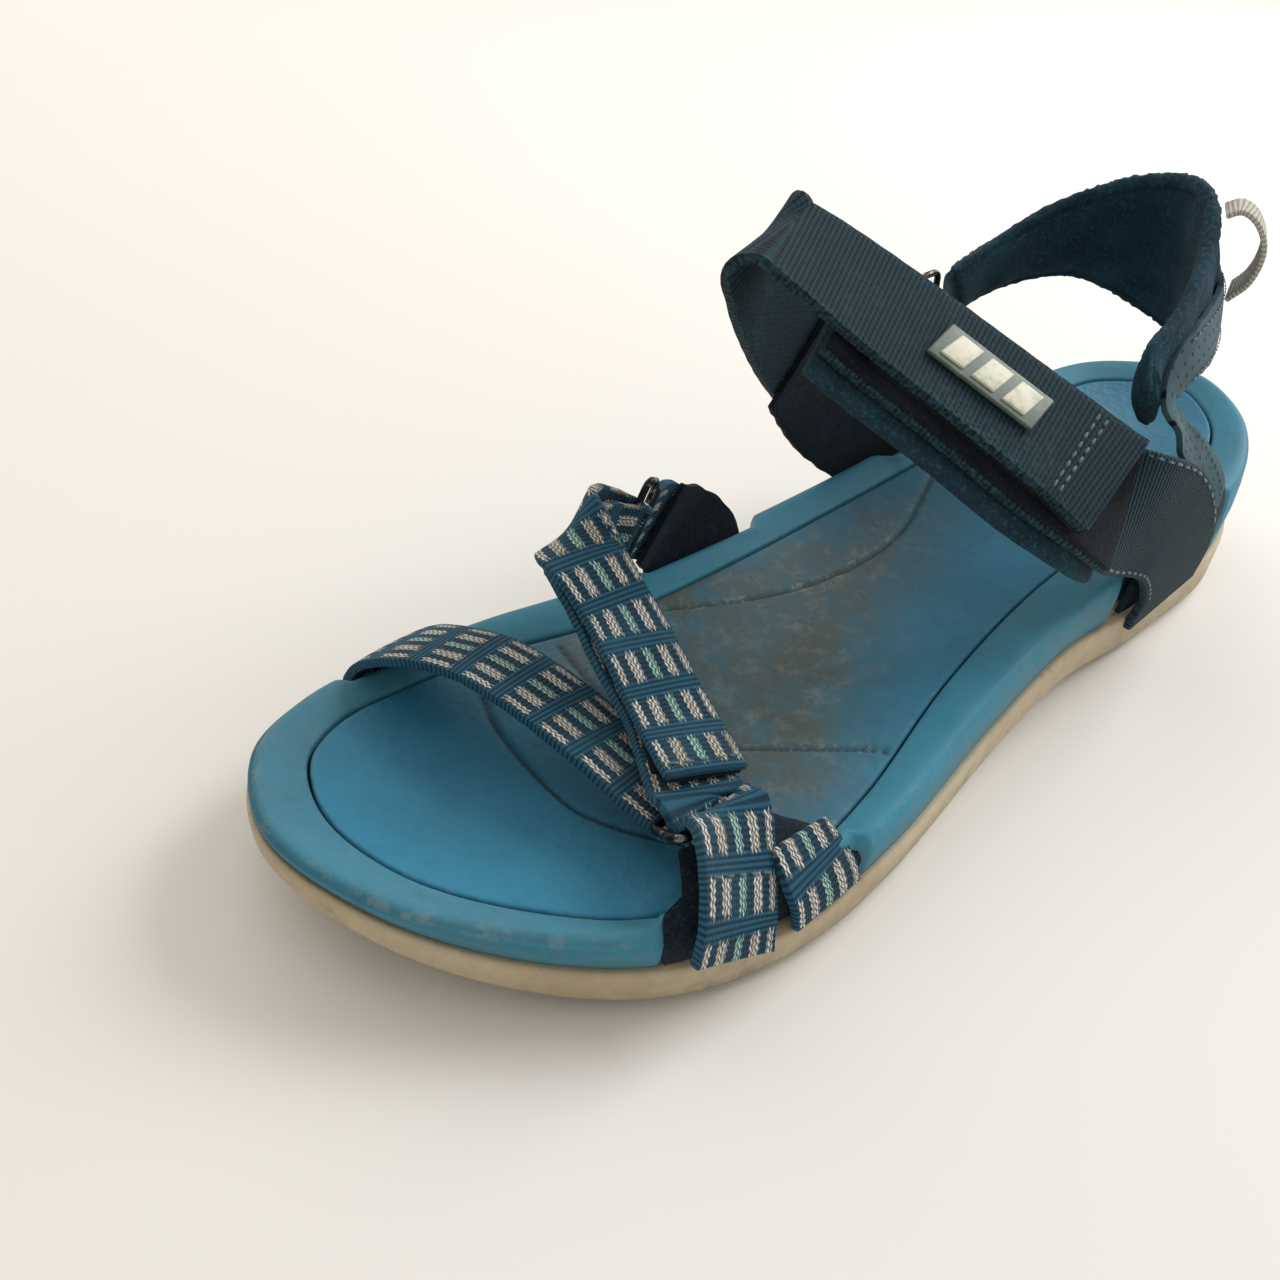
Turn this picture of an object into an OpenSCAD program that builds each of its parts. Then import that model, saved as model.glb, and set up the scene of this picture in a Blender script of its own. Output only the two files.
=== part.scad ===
// Strappy sport sandal for the left foot.
// The toe points along -Y, the heel along +Y, the outer side of the foot is +X and up is +Z.
// The origin is on the ground under the middle of the sandal. All sizes are in millimetres.

/* [Sole] */
// Thickness of the footbed insert
footbed_t = 3; // [2:0.5:4]
// Width of the moulded rim around the footbed insert
rim_w = 12; // [9:0.5:14]
// Thickness of the nylon shank plate
shank_t = 1.4; // [1:0.1:2]
// Length of the nylon shank plate
shank_len = 80; // [60:2:84]
// Width of the nylon shank plate
shank_w = 24; // [16:1:30]
// Diameter of the heel shock pad
shock_d = 34; // [24:1:40]
// Thickness of the heel shock pad
shock_t = 4; // [3:0.5:6]

/* [Straps] */
// Width of the patterned webbing over the toes
toe_web_w = 16; // [14:0.5:17]
// Thickness of the patterned webbing
toe_web_t = 1.7; // [1.4:0.1:1.8]
// Width of the patterned webbing at the arch
arch_web_w = 18; // [14:1:20]
// Width of the plain ankle webbing
ankle_web_w = 25; // [20:1:26]
// Thickness of the plain ankle webbing
ankle_web_t = 2; // [1.6:0.1:2.2]
// Width of the padded lining under the instep band
pad_w = 30; // [27:1:31]
// Thickness of the padded lining under the instep band
pad_t = 3.6; // [3:0.2:4]
// Thickness of a hook or loop patch on the ankle strap
patch_t = 0.8; // [0.6:0.1:0.9]
// Thickness of a hook or loop patch on the toe strap
toe_patch_t = 0.6; // [0.4:0.1:0.6]
// Thickness of the cloth linings
lining_t = 1.2; // [0.8:0.1:1.4]

/* [Heel] */
// Thickness of the padded heel collar at its middle
collar_t = 5; // [4:0.5:6]
// Thickness of the nubuck overlays
overlay_t = 1.2; // [1:0.1:1.4]
// Width of the pull loop
loop_w = 10; // [8:0.5:12]
// Thickness of the pull loop webbing
loop_t = 1.2; // [1:0.1:1.4]

/* [Rings and badge] */
// Diameter of the wire of the strap rings
wire_d = 1.5; // [1.2:0.1:1.6]
// Length of the badge on the ankle strap
badge_l = 21; // [16:1:26]
// Width of the badge on the ankle strap
badge_w = 10; // [7:0.5:12]
// Thickness of the badge
badge_t = 1.2; // [0.8:0.1:1.6]

/* [Hidden] */
sand = "tan";
blue = [0.16, 0.38, 0.5];
slate = [0.17, 0.24, 0.29];
dark = [0.07, 0.09, 0.12];
nubuck = [0.33, 0.4, 0.46];

// Steps between two control points of the outline and of a strap
outline_steps = 4;
strap_steps = 4;

// Catmull-Rom point between b and c at 0 <= t < 1
function spline(a, b, c, d, t) = 0.5 * (2 * b + (c - a) * t
    + (2 * a - 5 * b + 4 * c - d) * t * t + (3 * b - a - 3 * c + d) * t * t * t);
// A closed curve through the points p
function closed_curve(p, k) = let (n = len(p)) [for (i = [0:n - 1], j = [0:k - 1])
    spline(p[(i + n - 1) % n], p[i], p[(i + 1) % n], p[(i + 2) % n], j / k)];
// An open curve through the rows p, which also carry the other columns smoothly
function open_curve(p, k) = let (n = len(p), first = 2 * p[0] - p[1], last = 2 * p[n - 1] - p[n - 2])
    concat([for (i = [0:n - 2], j = [0:k - 1])
        spline(i > 0 ? p[i - 1] : first, p[i], p[i + 1], i < n - 2 ? p[i + 2] : last, j / k)],
        [p[n - 1]]);
// The value of the table [place, value] at x, with soft steps between its rows
function soft_lookup(x, table) = let (
    n = len(table),
    hits = [for (i = [0:n - 2]) if (x >= table[i][0] && x <= table[i + 1][0]) i],
    i = len(hits) > 0 ? hits[0] : (x < table[0][0] ? 0 : n - 2),
    a = table[i],
    b = table[i + 1],
    t = max(0, min(1, (x - a[0]) / (b[0] - a[0]))),
    before = i > 0 ? (b[1] - table[i - 1][1]) / (b[0] - table[i - 1][0]) : (b[1] - a[1]) / (b[0] - a[0]),
    after = i < n - 2 ? (table[i + 2][1] - a[1]) / (table[i + 2][0] - a[0]) : (b[1] - a[1]) / (b[0] - a[0]),
    w = b[0] - a[0])
    (2 * pow(t, 3) - 3 * t * t + 1) * a[1] + (pow(t, 3) - 2 * t * t + t) * w * before
    + (3 * t * t - 2 * pow(t, 3)) * b[1] + (pow(t, 3) - t * t) * w * after;

// Outline of the sole seen from above, from the heel round the outer side to the toe and back
SOLE = [[0, 132.5], [14, 127], [26, 114], [34, 92], [35.5, 60], [36, 25], [39.5, -10], [45.5, -45],
    [46.5, -70], [40, -94], [27, -112], [8, -127], [-14, -132.5], [-34, -124], [-44, -109],
    [-46.5, -90], [-44, -68], [-39, -45], [-35, -10], [-33, 25], [-32.5, 60], [-31.5, 90],
    [-26, 114], [-14, 127]];
// Along Y: the heights of the ground face, of the rubber's edge, of its deck under the foam and of the
// rim, and the place of the middle line
GROUND_Z = [[-132.5, 12], [-118, 6], [-100, 2], [-80, 0], [-20, 0], [0, 2], [20, 4], [40, 2.5],
    [56, 0], [118, 0], [132.5, 3]];
RUBBER_Z = [[-132.5, 18], [-116, 12.5], [-100, 10], [-60, 8.5], [-20, 9], [0, 11.5], [20, 14],
    [40, 13], [60, 11.5], [100, 11.5], [132.5, 13]];
DECK_Z = [[-132.5, 14], [-118, 8.8], [-100, 6.5], [-60, 6.5], [-20, 8], [0, 10], [20, 12.5], [40, 11.5],
    [60, 10], [100, 10], [132.5, 11]];
RIM_Z = [[-132.5, 21.5], [-116, 18.3], [-100, 17], [-60, 18], [-20, 21], [20, 24.5], [60, 28],
    [100, 31], [132.5, 36]];
MIDDLE_X = [[-132.5, -14], [-90, -3], [-50, 2], [0, 2], [60, 1.5], [132.5, 0]];
// Depth of the moulded recesses for the strap anchors, on the outer and on the inner side
OUTER_RECESS = [[-106, 0], [-99, 5.4], [-54, 5.4], [-46, 0], [36, 0], [44, 3.4], [88, 3.4], [96, 0]];
INNER_RECESS = [[-106, 0], [-100, 2.4], [-80, 2.4], [-72, 0], [-42, 0], [-36, 3], [0, 3],
    [8, 0], [34, 0], [41, 3.2], [82, 3.2], [90, 0]];

base_line = closed_curve(SOLE, outline_steps);
outline_count = len(base_line);
function unit(v) = v / norm(v);
// The outline moved inwards by the distance d, which may be a list with one value per point
function inset_line(d) = [for (i = [0:outline_count - 1]) let (
    t = unit(base_line[(i + 1) % outline_count] - base_line[(i + outline_count - 1) % outline_count]),
    di = is_list(d) ? d[i] : d)
    base_line[i] + [-t[1], t[0]] * -di];
function recess_at(p) = lookup(p[1], p[0] > MIDDLE_X[3][1] ? OUTER_RECESS : INNER_RECESS);
recess = [for (p = base_line) recess_at(p)];
// The outline shrunk towards the middle line by the share s
function shrunk_line(line, s) = [for (p = line) let (y = p[1] * (0.9 + 0.1 * s))
    [soft_lookup(y, MIDDLE_X) * (1 - s) + p[0] * s, y]];
// A ring of 3-D points at the height table z plus dz
function ring_at(line, table, dz = 0) = [for (p = line) [p[0], p[1], max(0, soft_lookup(p[1], table) + dz)]];
function raised(ring, dz) = [for (p = ring) p + [0, 0, dz]];

// A closed skin over a stack of rings with the same number of points, with a middle point at each end
module stacked(rings, low_cap, high_cap) {
    n = len(rings[0]);
    m = len(rings);
    points = concat([for (r = rings, p = r) p], [low_cap, high_cap]);
    sides = [for (k = [0:m - 2], i = [0:n - 1], part = [0, 1]) let (j = (i + 1) % n)
        part == 0 ? [k * n + i, k * n + j, (k + 1) * n + j] : [k * n + i, (k + 1) * n + j, (k + 1) * n + i]];
    low = [for (i = [0:n - 1]) [m * n, (i + 1) % n, i]];
    high = [for (i = [0:n - 1]) [m * n + 1, (m - 1) * n + i, (m - 1) * n + (i + 1) % n]];
    polyhedron(points, concat(sides, low, high));
}

// Rows of a strap: centre x, y, z, then the direction across the strap, then its width
function strap_rows(rows) = open_curve(rows, strap_steps);
function row_point(r) = [r[0], r[1], r[2]];
function row_along(c, i) = unit(row_point(c[min(i + 1, len(c) - 1)]) - row_point(c[max(i - 1, 0)]));
function row_across(c, i) = let (t = row_along(c, i), w = [c[i][3], c[i][4], c[i][5]]) unit(w - t * (w * t));
// A flat strap of thickness t, moved off its route by lift, towards the outside of the foot when side is 1
// from control row first to control row last
module strap(rows, t, lift = 0, side = 1, first = 0, last = 99) {
    c = strap_rows(rows);
    sections = [for (i = [first * strap_steps:min(last * strap_steps, len(c) - 1)]) let (
        p = row_point(c[i]),
        w = row_across(c, i),
        up = cross(row_along(c, i), w) * side,
        half = c[i][6] / 2)
        [p - w * half + up * (lift - t / 2), p + w * half + up * (lift - t / 2),
         p + w * half + up * (lift + t / 2), p - w * half + up * (lift + t / 2)]];
    sheath(side > 0 ? sections : [for (s = sections) [s[1], s[0], s[3], s[2]]]);
}
// A closed skin over sections with the same number of points, flat at both ends
module sheath(sections) {
    n = len(sections[0]);
    m = len(sections);
    sides = [for (k = [0:m - 2], i = [0:n - 1], part = [0, 1]) let (j = (i + 1) % n)
        part == 0 ? [k * n + i, (k + 1) * n + j, k * n + j] : [k * n + i, (k + 1) * n + i, (k + 1) * n + j]];
    polyhedron([for (s = sections, p = s) p],
        concat(sides, [[for (i = [0:n - 1]) i]], [[for (i = [n - 1:-1:0]) (m - 1) * n + i]]));
}
// One row of a route, with its width
function row(p, across, w) = concat(p, across, [w]);
// The rows of a route with another width, and its rows from one to another
function with_width(rows, w) = [for (r = rows) concat([for (k = [0:5]) r[k]], [w])];
function stretch(rows, first, last) = [for (i = [first:last]) rows[i]];

// Toe strap: from the inner edge of the sole over the toes to the outer ring
TOE_RUN = [row([-45, -90, 10.6], [0, 1, 0], toe_web_w), row([-46.3, -90, 14], [-0.05, 1, 0], toe_web_w),
    row([-43.5, -89.5, 19], [-0.2, 0.97, -0.1], toe_web_w),
    row([-36, -88, 24], [-0.35, 0.93, -0.15], toe_web_w),
    row([-28, -85.5, 26.5], [-0.4, 0.9, -0.15], toe_web_w),
    row([-20, -83, 27.3], [-0.36, 0.92, -0.1], toe_web_w),
    row([-8, -80.5, 26.1], [-0.27, 0.96, -0.1], toe_web_w),
    row([6, -79, 23.9], [-0.25, 0.96, -0.15], toe_web_w),
    row([16, -77.5, 21.2], [-0.15, 0.98, -0.15], toe_web_w),
    row([22, -76.5, 20], [-0.05, 0.99, -0.1], toe_web_w)];
// The turn round the outer ring and the run back under the tab to the inner ring
TOE_RETURN = [row([22, -76.5, 20], [-0.05, 0.99, -0.1], toe_web_w),
    row([25.3, -76.4, 20], [0, 1, -0.12], toe_web_w), row([27.3, -76.2, 22.4], [0, 1, -0.1], toe_web_w),
    row([25.3, -76, 25], [0, 0.99, -0.12], toe_web_w),
    row([20.5, -74, 24.4], [0.1, 0.97, -0.15], toe_web_w),
    row([9.7, -68.8, 26.4], [0, 0.99, -0.1], toe_web_w),
    row([-2.5, -66.4, 31.4], [-0.1, 0.99, -0.05], toe_web_w),
    row([-8.8, -65.3, 34.8], [-0.2, 0.97, 0], toe_web_w),
    row([-15.2, -65, 39.4], [-0.35, 0.93, 0.05], toe_web_w),
    row([-19, -63.6, 41.6], [-0.4, 0.9, 0.1], toe_web_w),
    row([-21.4, -57.3, 42.4], [-0.25, 0.8, 0.5], toe_web_w),
    row([-23.9, -49.4, 40.3], [-0.1, 0.5, 0.85], toe_web_w),
    row([-26.4, -43.7, 37.2], [0, 0.47, 0.88], toe_web_w),
    row([-29, -42.6, 36], [0, 0.47, 0.88], toe_web_w),
    row([-30.1, -45.1, 37.1], [0, 0.47, 0.88], toe_web_w),
    row([-27.6, -51.3, 40.6], [-0.1, 0.5, 0.85], toe_web_w),
    row([-24.9, -58.5, 44.4], [-0.25, 0.75, 0.6], toe_web_w),
    row([-21.6, -63, 47.2], [-0.36, 0.88, 0.3], toe_web_w),
    row([-18.6, -64.8, 47], [-0.38, 0.92, 0.1], toe_web_w),
    row([-17.6, -64.9, 46.1], [-0.35, 0.93, 0.05], toe_web_w)];
// The tab on top, from the inner ring to its free tip
TOE_TAB = [row([-16.3, -64.7, 43.8], [-0.33, 0.94, 0.05], toe_web_w),
    row([-12.6, -64.5, 40.9], [-0.28, 0.96, 0], toe_web_w),
    row([-6.6, -65, 37.3], [-0.17, 0.98, 0], toe_web_w),
    row([-0.8, -66.1, 34.6], [-0.1, 0.99, -0.05], toe_web_w),
    row([10.7, -68.8, 29.9], [0, 0.99, -0.1], toe_web_w),
    row([22.6, -72.8, 27.4], [0.1, 0.97, -0.15], toe_web_w)];
// Anchor webs of the outer ring; the front one turns round the ring and is sewn to itself
FRONT_ANCHOR = [row([44.4, -86, 10.8], [0.1, 0.98, 0], toe_web_w),
    row([42.6, -83.8, 16.7], [0.1, 0.93, -0.3], toe_web_w),
    row([38.8, -80.8, 22], [0.1, 0.92, -0.33], toe_web_w),
    row([36, -79.1, 25], [0.07, 0.95, -0.28], toe_web_w),
    row([33.8, -77.9, 27], [0.03, 0.98, -0.2], toe_web_w),
    row([31.2, -77.2, 27.6], [0, 0.98, -0.15], toe_web_w),
    row([29, -76.9, 25.1], [0, 0.98, -0.15], toe_web_w),
    row([31.2, -76.9, 22.5], [0, 0.98, -0.15], toe_web_w),
    row([33.2, -77.9, 22], [0.05, 0.96, -0.2], toe_web_w)];
REAR_ANCHOR = [row([46.2, -65.5, 10], [0, 1, 0], toe_web_w),
    row([45.2, -65.8, 13.6], [0, 1, -0.05], toe_web_w),
    row([42.2, -66.4, 17.8], [-0.05, 0.98, -0.1], toe_web_w),
    row([38.4, -66.2, 20.8], [-0.1, 0.98, -0.12], 14)];
LATERAL_TOE_LINING = [row([42, -75.5, 10.8], [0.16, 0.98, 0], 42),
    row([41.4, -75.5, 13.6], [0.17, 0.98, 0], 40),
    row([39.8, -75.2, 17.2], [0.1, 0.98, 0], 34), row([36.4, -74.6, 19.4], [0, 0.98, -0.06], 28),
    row([33, -74, 20], [0, 0.98, -0.1], 23)];
// Arch anchor on the inner side, which holds the inner ring
ARCH_ANCHOR = [row([-34.4, -19, 11], [0.08, 1, 0], arch_web_w),
    row([-36.4, -19.5, 17], [0, 1, 0.1], arch_web_w),
    row([-37.2, -24.5, 25.4], [0, 0.82, 0.57], arch_web_w),
    row([-35.4, -31.5, 30.6], [0, 0.62, 0.78], arch_web_w),
    row([-31.6, -37.6, 33.6], [0, 0.5, 0.87], toe_web_w)];
ARCH_LINING = [row([-32.8, -18, 12], [0.08, 1, 0], 30), row([-34.4, -18.5, 18], [0, 1, 0.1], 27),
    row([-35.2, -23.6, 25], [0, 0.82, 0.57], 22), row([-33.6, -30, 29.6], [0, 0.62, 0.78], 19)];

// Instep band: from the outer edge of the sole up and over the instep
BAND = [row([36.6, 60, 12.2], [0, 1, 0], ankle_web_w), row([38.6, 56.5, 25], [0, 0.98, 0.15], ankle_web_w),
    row([38.8, 43, 39.5], [0, 0.93, 0.3], ankle_web_w),
    row([35.6, 23, 48.6], [0.1, 0.96, 0.22], ankle_web_w),
    row([24.2, 11.2, 56.4], [0, 0.98, 0.19], ankle_web_w),
    row([9.2, 2.7, 65.5], [-0.1, 0.98, 0.17], ankle_web_w),
    row([-5.2, -6.2, 74.4], [-0.2, 0.96, 0.17], ankle_web_w),
    row([-12, -11, 79.4], [-0.26, 0.95, 0.15], ankle_web_w)];
BAND_LIFT = -(ankle_web_t / 2 + 0.1 + pad_t / 2);
// Ankle strap: the tab from its tip to the crest, then the fixed run down the inner side
ANKLE_TAB = [row([36.5, 16.6, 56], [0.15, 0.96, 0.21], ankle_web_w),
    row([25.5, 12.5, 61.7], [0, 0.98, 0.19], ankle_web_w),
    row([10, 4.5, 70.6], [-0.1, 0.98, 0.17], ankle_web_w),
    row([-4.5, -4.5, 79.6], [-0.2, 0.96, 0.17], ankle_web_w),
    row([-14.6, -11.2, 86], [-0.3, 0.94, 0.14], ankle_web_w)];
ANKLE_RUN = [row([-15.2, -11.6, 86.4], [-0.3, 0.94, 0.14], ankle_web_w),
    row([-19.4, -14.6, 89.4], [-0.34, 0.93, 0.12], ankle_web_w),
    row([-23.6, -16.8, 90.8], [-0.37, 0.92, 0.08], ankle_web_w),
    row([-27.4, -16.4, 88], [-0.35, 0.93, 0.1], ankle_web_w),
    row([-30.2, -11, 80], [-0.25, 0.9, 0.3], ankle_web_w),
    row([-33, 3, 65], [-0.1, 0.85, 0.5], ankle_web_w),
    row([-35, 17, 52], [-0.05, 0.82, 0.55], ankle_web_w)];
MEDIAL_GUSSET = [row([-33.2, 6, 60], [-0.05, 0.82, 0.55], 28), row([-34.6, 22, 45.5], [0, 0.85, 0.5], 31),
    row([-35.4, 44, 31], [0, 0.93, 0.35], 34), row([-34.4, 58, 23], [0, 0.99, 0.06], 36),
    row([-33, 61, 14.8], [0, 1, 0], 36)];
LATERAL_LINING = [row([33.4, 66, 13], [0, 1, 0], 38), row([34.6, 65, 25], [0, 0.98, 0.1], 34),
    row([33.6, 60, 33], [0, 0.96, 0.2], 24)];

// Heel collar: top edge, bottom edge, from the inner front end round the heel to the outer front end
COLLAR = [[[-30, 53, 67.5], [-31, 58, 56.5]], [[-28, 66, 73], [-29.5, 67, 60.5]], [[-24, 78, 79], [-26, 80, 63]],
    [[-18, 87, 83.5], [-21, 92, 63]], [[-11, 92, 87], [-14, 102, 59]], [[-3, 93, 89], [-4, 108, 54]],
    [[4, 89, 89.6], [4, 104, 53]], [[10, 83.4, 87], [11, 94, 56]], [[15, 75, 83], [17, 80, 62]],
    [[19, 65, 79], [21.5, 68, 63.5]], [[22.5, 54, 75], [25, 57, 64]], [[23.5, 42.6, 70.8], [26, 45.4, 59.8]]];
collar_flat = [for (c = COLLAR) concat(c[0], c[1])];
collar_side = 10;
GUSSET = [row([36.2, 67, 29], [0, 0.95, -0.3], 17), row([36, 63.6, 38], [0, 0.95, -0.3], 18),
    row([33.6, 58.4, 47], [0, 0.9, -0.42], 15), row([31, 53, 54], [0, 0.85, -0.52], 10)];
OVERLAY_OUTER = [row([29.2, 47.5, 62.6], [0.2, 0.25, -0.95], 8),
    row([28, 57, 67.2], [0.2, 0.25, -0.95], 11),
    row([24.6, 69, 69.4], [0.2, 0.15, -0.95], 13), row([19.6, 80.6, 69.6], [0.15, 0.2, -0.95], 13),
    row([13.4, 92.2, 69], [0.1, 0.3, -0.93], 13)];
OVERLAY_INNER = [row([-33.6, 60, 61.8], [-0.05, 0.3, -0.95], 11),
    row([-31.6, 70, 66], [-0.1, 0.15, -0.97], 12),
    row([-28, 82, 69.6], [-0.15, 0.2, -0.95], 14), row([-21.6, 94.8, 70.6], [-0.15, 0.3, -0.93], 15)];
PULL_LOOP = [row([10.9, 87.2, 87.6], [-0.43, 0.9, 0], loop_w),
    row([13.6, 88.6, 89], [-0.43, 0.9, 0], loop_w),
    row([17, 89.6, 87.4], [-0.43, 0.9, 0], loop_w), row([19.6, 90.4, 83.5], [-0.43, 0.9, 0], loop_w),
    row([20, 90.8, 79], [-0.43, 0.9, 0], loop_w), row([18.8, 91, 74.6], [-0.43, 0.9, 0], loop_w),
    row([16.3, 90.6, 71], [-0.43, 0.9, 0], loop_w)];

// Moulded rubber bottom with its raised toe guard
module outsole() {
    bottom = inset_line(2.5);
    lip = inset_line(0);
    color(sand) stacked([raised(ring_at(shrunk_line(bottom, 0.45), GROUND_Z), 0), ring_at(bottom, GROUND_Z),
        ring_at(inset_line(0.6), GROUND_Z, 2), ring_at(lip, RUBBER_Z, -2), ring_at(inset_line(0.4), RUBBER_Z),
        ring_at(inset_line(7), DECK_Z), ring_at(shrunk_line(inset_line(7), 0.45), DECK_Z)],
        [MIDDLE_X[3][1], 0, 2], [MIDDLE_X[3][1], 0, soft_lookup(0, DECK_Z)]);
}
// Foam midsole with the rim, the strap recesses and the pockets for the shank and the shock pad
module midsole() {
    side = [for (r = recess) 1.3 + r];
    belly = [for (r = recess) 0.9 + r];
    rim = [for (r = recess) 2.2 + r];
    inner = inset_line(rim_w);
    seat = ring_at(inner, RIM_Z, -3 - footbed_t);
    color(blue) difference() {
        stacked([ring_at(shrunk_line(inset_line(7), 0.45), DECK_Z, 0.02), ring_at(inset_line(7), DECK_Z, 0.02),
            ring_at(inset_line(side), RUBBER_Z, 0.05),
            ring_at(inset_line(belly), RIM_Z, -3.5), ring_at(inset_line([for (r = rim) r - 0.7]), RIM_Z, -1),
            ring_at(inset_line(rim), RIM_Z), ring_at(inset_line([for (r = rim) r + 2.4]), RIM_Z, -0.2),
            ring_at(inner, RIM_Z, -3), seat, ring_at(shrunk_line(inner, 0.5), RIM_Z, -4 - footbed_t)],
            [MIDDLE_X[3][1], 0, soft_lookup(0, DECK_Z) + 0.02],
            [MIDDLE_X[3][1], 0, soft_lookup(0, RIM_Z) - 4 - footbed_t]);
        arch_shank_place() cube([shank_w + 0.4, shank_len + 0.4, shank_t + 0.4], center = true);
        heel_shock_place() cylinder(h = shock_t + 0.4, d = shock_d + 0.4, center = true, $fn = 64);
    }
}
// Footbed insert inside the moulded perimeter groove
module footbed() {
    inner = inset_line(rim_w + 0.5);
    color(blue * 1.15) stacked([ring_at(shrunk_line(inner, 0.5), RIM_Z, -3.95 - footbed_t),
        ring_at(inner, RIM_Z, -2.95 - footbed_t), ring_at(inner, RIM_Z, -3.2),
        ring_at(inset_line(rim_w + 2), RIM_Z, -3), ring_at(shrunk_line(inner, 0.5), RIM_Z, -4)],
        [MIDDLE_X[3][1], 0, soft_lookup(0, RIM_Z) - 3.95 - footbed_t],
        [MIDDLE_X[3][1], 0, soft_lookup(0, RIM_Z) - 4]);
}
module arch_shank_place() { translate([1, 20, 15.8]) rotate([5.2, 0, 0]) children(); }
module heel_shock_place() { translate([0, 92, 17]) children(); }
// Nylon stiffener inside the midsole
module arch_shank() {
    color("gray") arch_shank_place() cube([shank_w, shank_len, shank_t], center = true);
}
// Soft pad inside the heel of the midsole
module heel_shock_pad() {
    color("orange") heel_shock_place() cylinder(h = shock_t, d = shock_d, center = true, $fn = 64);
}

module toe_strap() {
    color(blue * 0.9) strap(concat(TOE_RUN, stretch(TOE_RETURN, 1, len(TOE_RETURN) - 1)), toe_web_t);
}
module toe_strap_tab() { color(blue * 1.2) strap(TOE_TAB, toe_web_t); }
module toe_loop_patch() {
    color(dark) strap(with_width(TOE_RETURN, toe_web_w - 2), toe_patch_t,
        (toe_web_t + toe_patch_t + 0.1) / -2, 1, 4, 6);
}
module toe_hook_patch() {
    color(dark * 1.4) strap(with_width(TOE_TAB, toe_web_w - 2), toe_patch_t,
        (toe_web_t + toe_patch_t + 0.1) / -2, 1, 3, 5);
}
// A rounded wire ring round the point m: the directions along and across it, its clear length and width
module wire_ring(m, along, across, len_in, w_in) {
    r = wire_d * 1.2;
    x = unit(along);
    y = unit(across - x * (across * x));
    z = cross(x, y);
    multmatrix([[x[0], y[0], z[0], m[0]], [x[1], y[1], z[1], m[1]], [x[2], y[2], z[2], m[2]]]) {
        for (s = [-1, 1]) {
            translate([s * (len_in + wire_d) / 2, 0, 0]) rotate([90, 0, 0])
                cylinder(h = w_in - 2 * r + wire_d, d = wire_d, center = true, $fn = 24);
            translate([0, s * (w_in + wire_d) / 2, 0]) rotate([0, 90, 0])
                cylinder(h = len_in - 2 * r + wire_d, d = wire_d, center = true, $fn = 24);
            for (k = [-1, 1])
                translate([s * ((len_in + wire_d) / 2 - r), k * ((w_in + wire_d) / 2 - r), 0])
                    rotate([0, 0, s > 0 ? (k > 0 ? 0 : 270) : (k > 0 ? 90 : 180)])
                        rotate_extrude(angle = 90, $fn = 32) translate([r, 0]) circle(d = wire_d, $fn = 24);
        }
    }
}
module lateral_toe_ring() { color(dark) wire_ring([28.2, -76.4, 23.65], [1, 0, 0.37], [0, 1, -0.12], 5.4, toe_web_w + 2.4); }
module medial_toe_ring() { color(dark) wire_ring([-29.2, -42.2, 35.8], [0.35, -0.8, 0.45], [0, 0.47, 0.88], 4, toe_web_w + 2.4); }
module front_anchor_web() { color(blue * 0.9) strap(FRONT_ANCHOR, toe_web_t, 0, -1); }
module rear_anchor_web() { color(blue * 0.9) strap(REAR_ANCHOR, toe_web_t, 0, -1); }
module lateral_toe_lining() { color(dark) strap(LATERAL_TOE_LINING, lining_t, 0, -1); }
module medial_arch_web() { color(blue * 0.9) strap(ARCH_ANCHOR, toe_web_t); }
module medial_arch_lining() { color(dark) strap(ARCH_LINING, lining_t); }

module instep_band() { color(slate) strap(BAND, ankle_web_t, 0, -1); }
module instep_band_pad() {
    color(dark) strap(with_width(BAND, pad_w), pad_t, BAND_LIFT, -1, 3, 7);
}
module ankle_loop_patch() {
    color(dark) strap(with_width(BAND, ankle_web_w - 2), patch_t,
        (ankle_web_t + patch_t + 0.1) / 2, -1, 4, 7);
}
module lateral_ankle_lining() { color(dark) strap(LATERAL_LINING, lining_t, 0, -1); }
module ankle_strap() { color(slate) strap(ANKLE_RUN, ankle_web_t, 0, -1); }
module ankle_strap_tab() { color(slate * 1.2) strap(ANKLE_TAB, ankle_web_t, 0, -1); }
module ankle_hook_patch() {
    color(dark * 1.4) strap(with_width(ANKLE_TAB, ankle_web_w - 2), patch_t,
        (ankle_web_t + patch_t + 0.1) / -2, -1, 0, 3);
}
module badge() {
    mid = row_point(ANKLE_TAB[2]) + [1.2, 0.7, -0.7];
    along = unit(row_point(ANKLE_TAB[1]) - row_point(ANKLE_TAB[3]));
    color("beige") strap([for (s = [-1:0.5:1]) row(mid + along * s * badge_l / 2, [-0.1, 0.98, 0.17], badge_w)],
        badge_t, (ankle_web_t + badge_t) / 2 + 0.25, 1);
}
module medial_ankle_gusset() { color(dark) strap(MEDIAL_GUSSET, lining_t, -(ankle_web_t + lining_t) / 2 - 0.2, -1); }
module ankle_ring() { color(dark) wire_ring([-31.8, 47.6, 61.2], [0.1, 1, 0.1], [0, -0.1, 1], 4, 12); }
module ankle_ring_web() {
    color(slate) strap([row([-38.6, 22, 50.6], [0, -0.4, 0.92], 14),
    row([-36.6, 31, 55.6], [0, -0.42, 0.9], 13),
        row([-33.6, 39, 59.6], [0, -0.3, 0.95], 11.6),
    row([-32.4, 43.4, 60.8], [0, -0.2, 0.98], 11.4)], toe_web_t, 0, -1);
}

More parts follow.
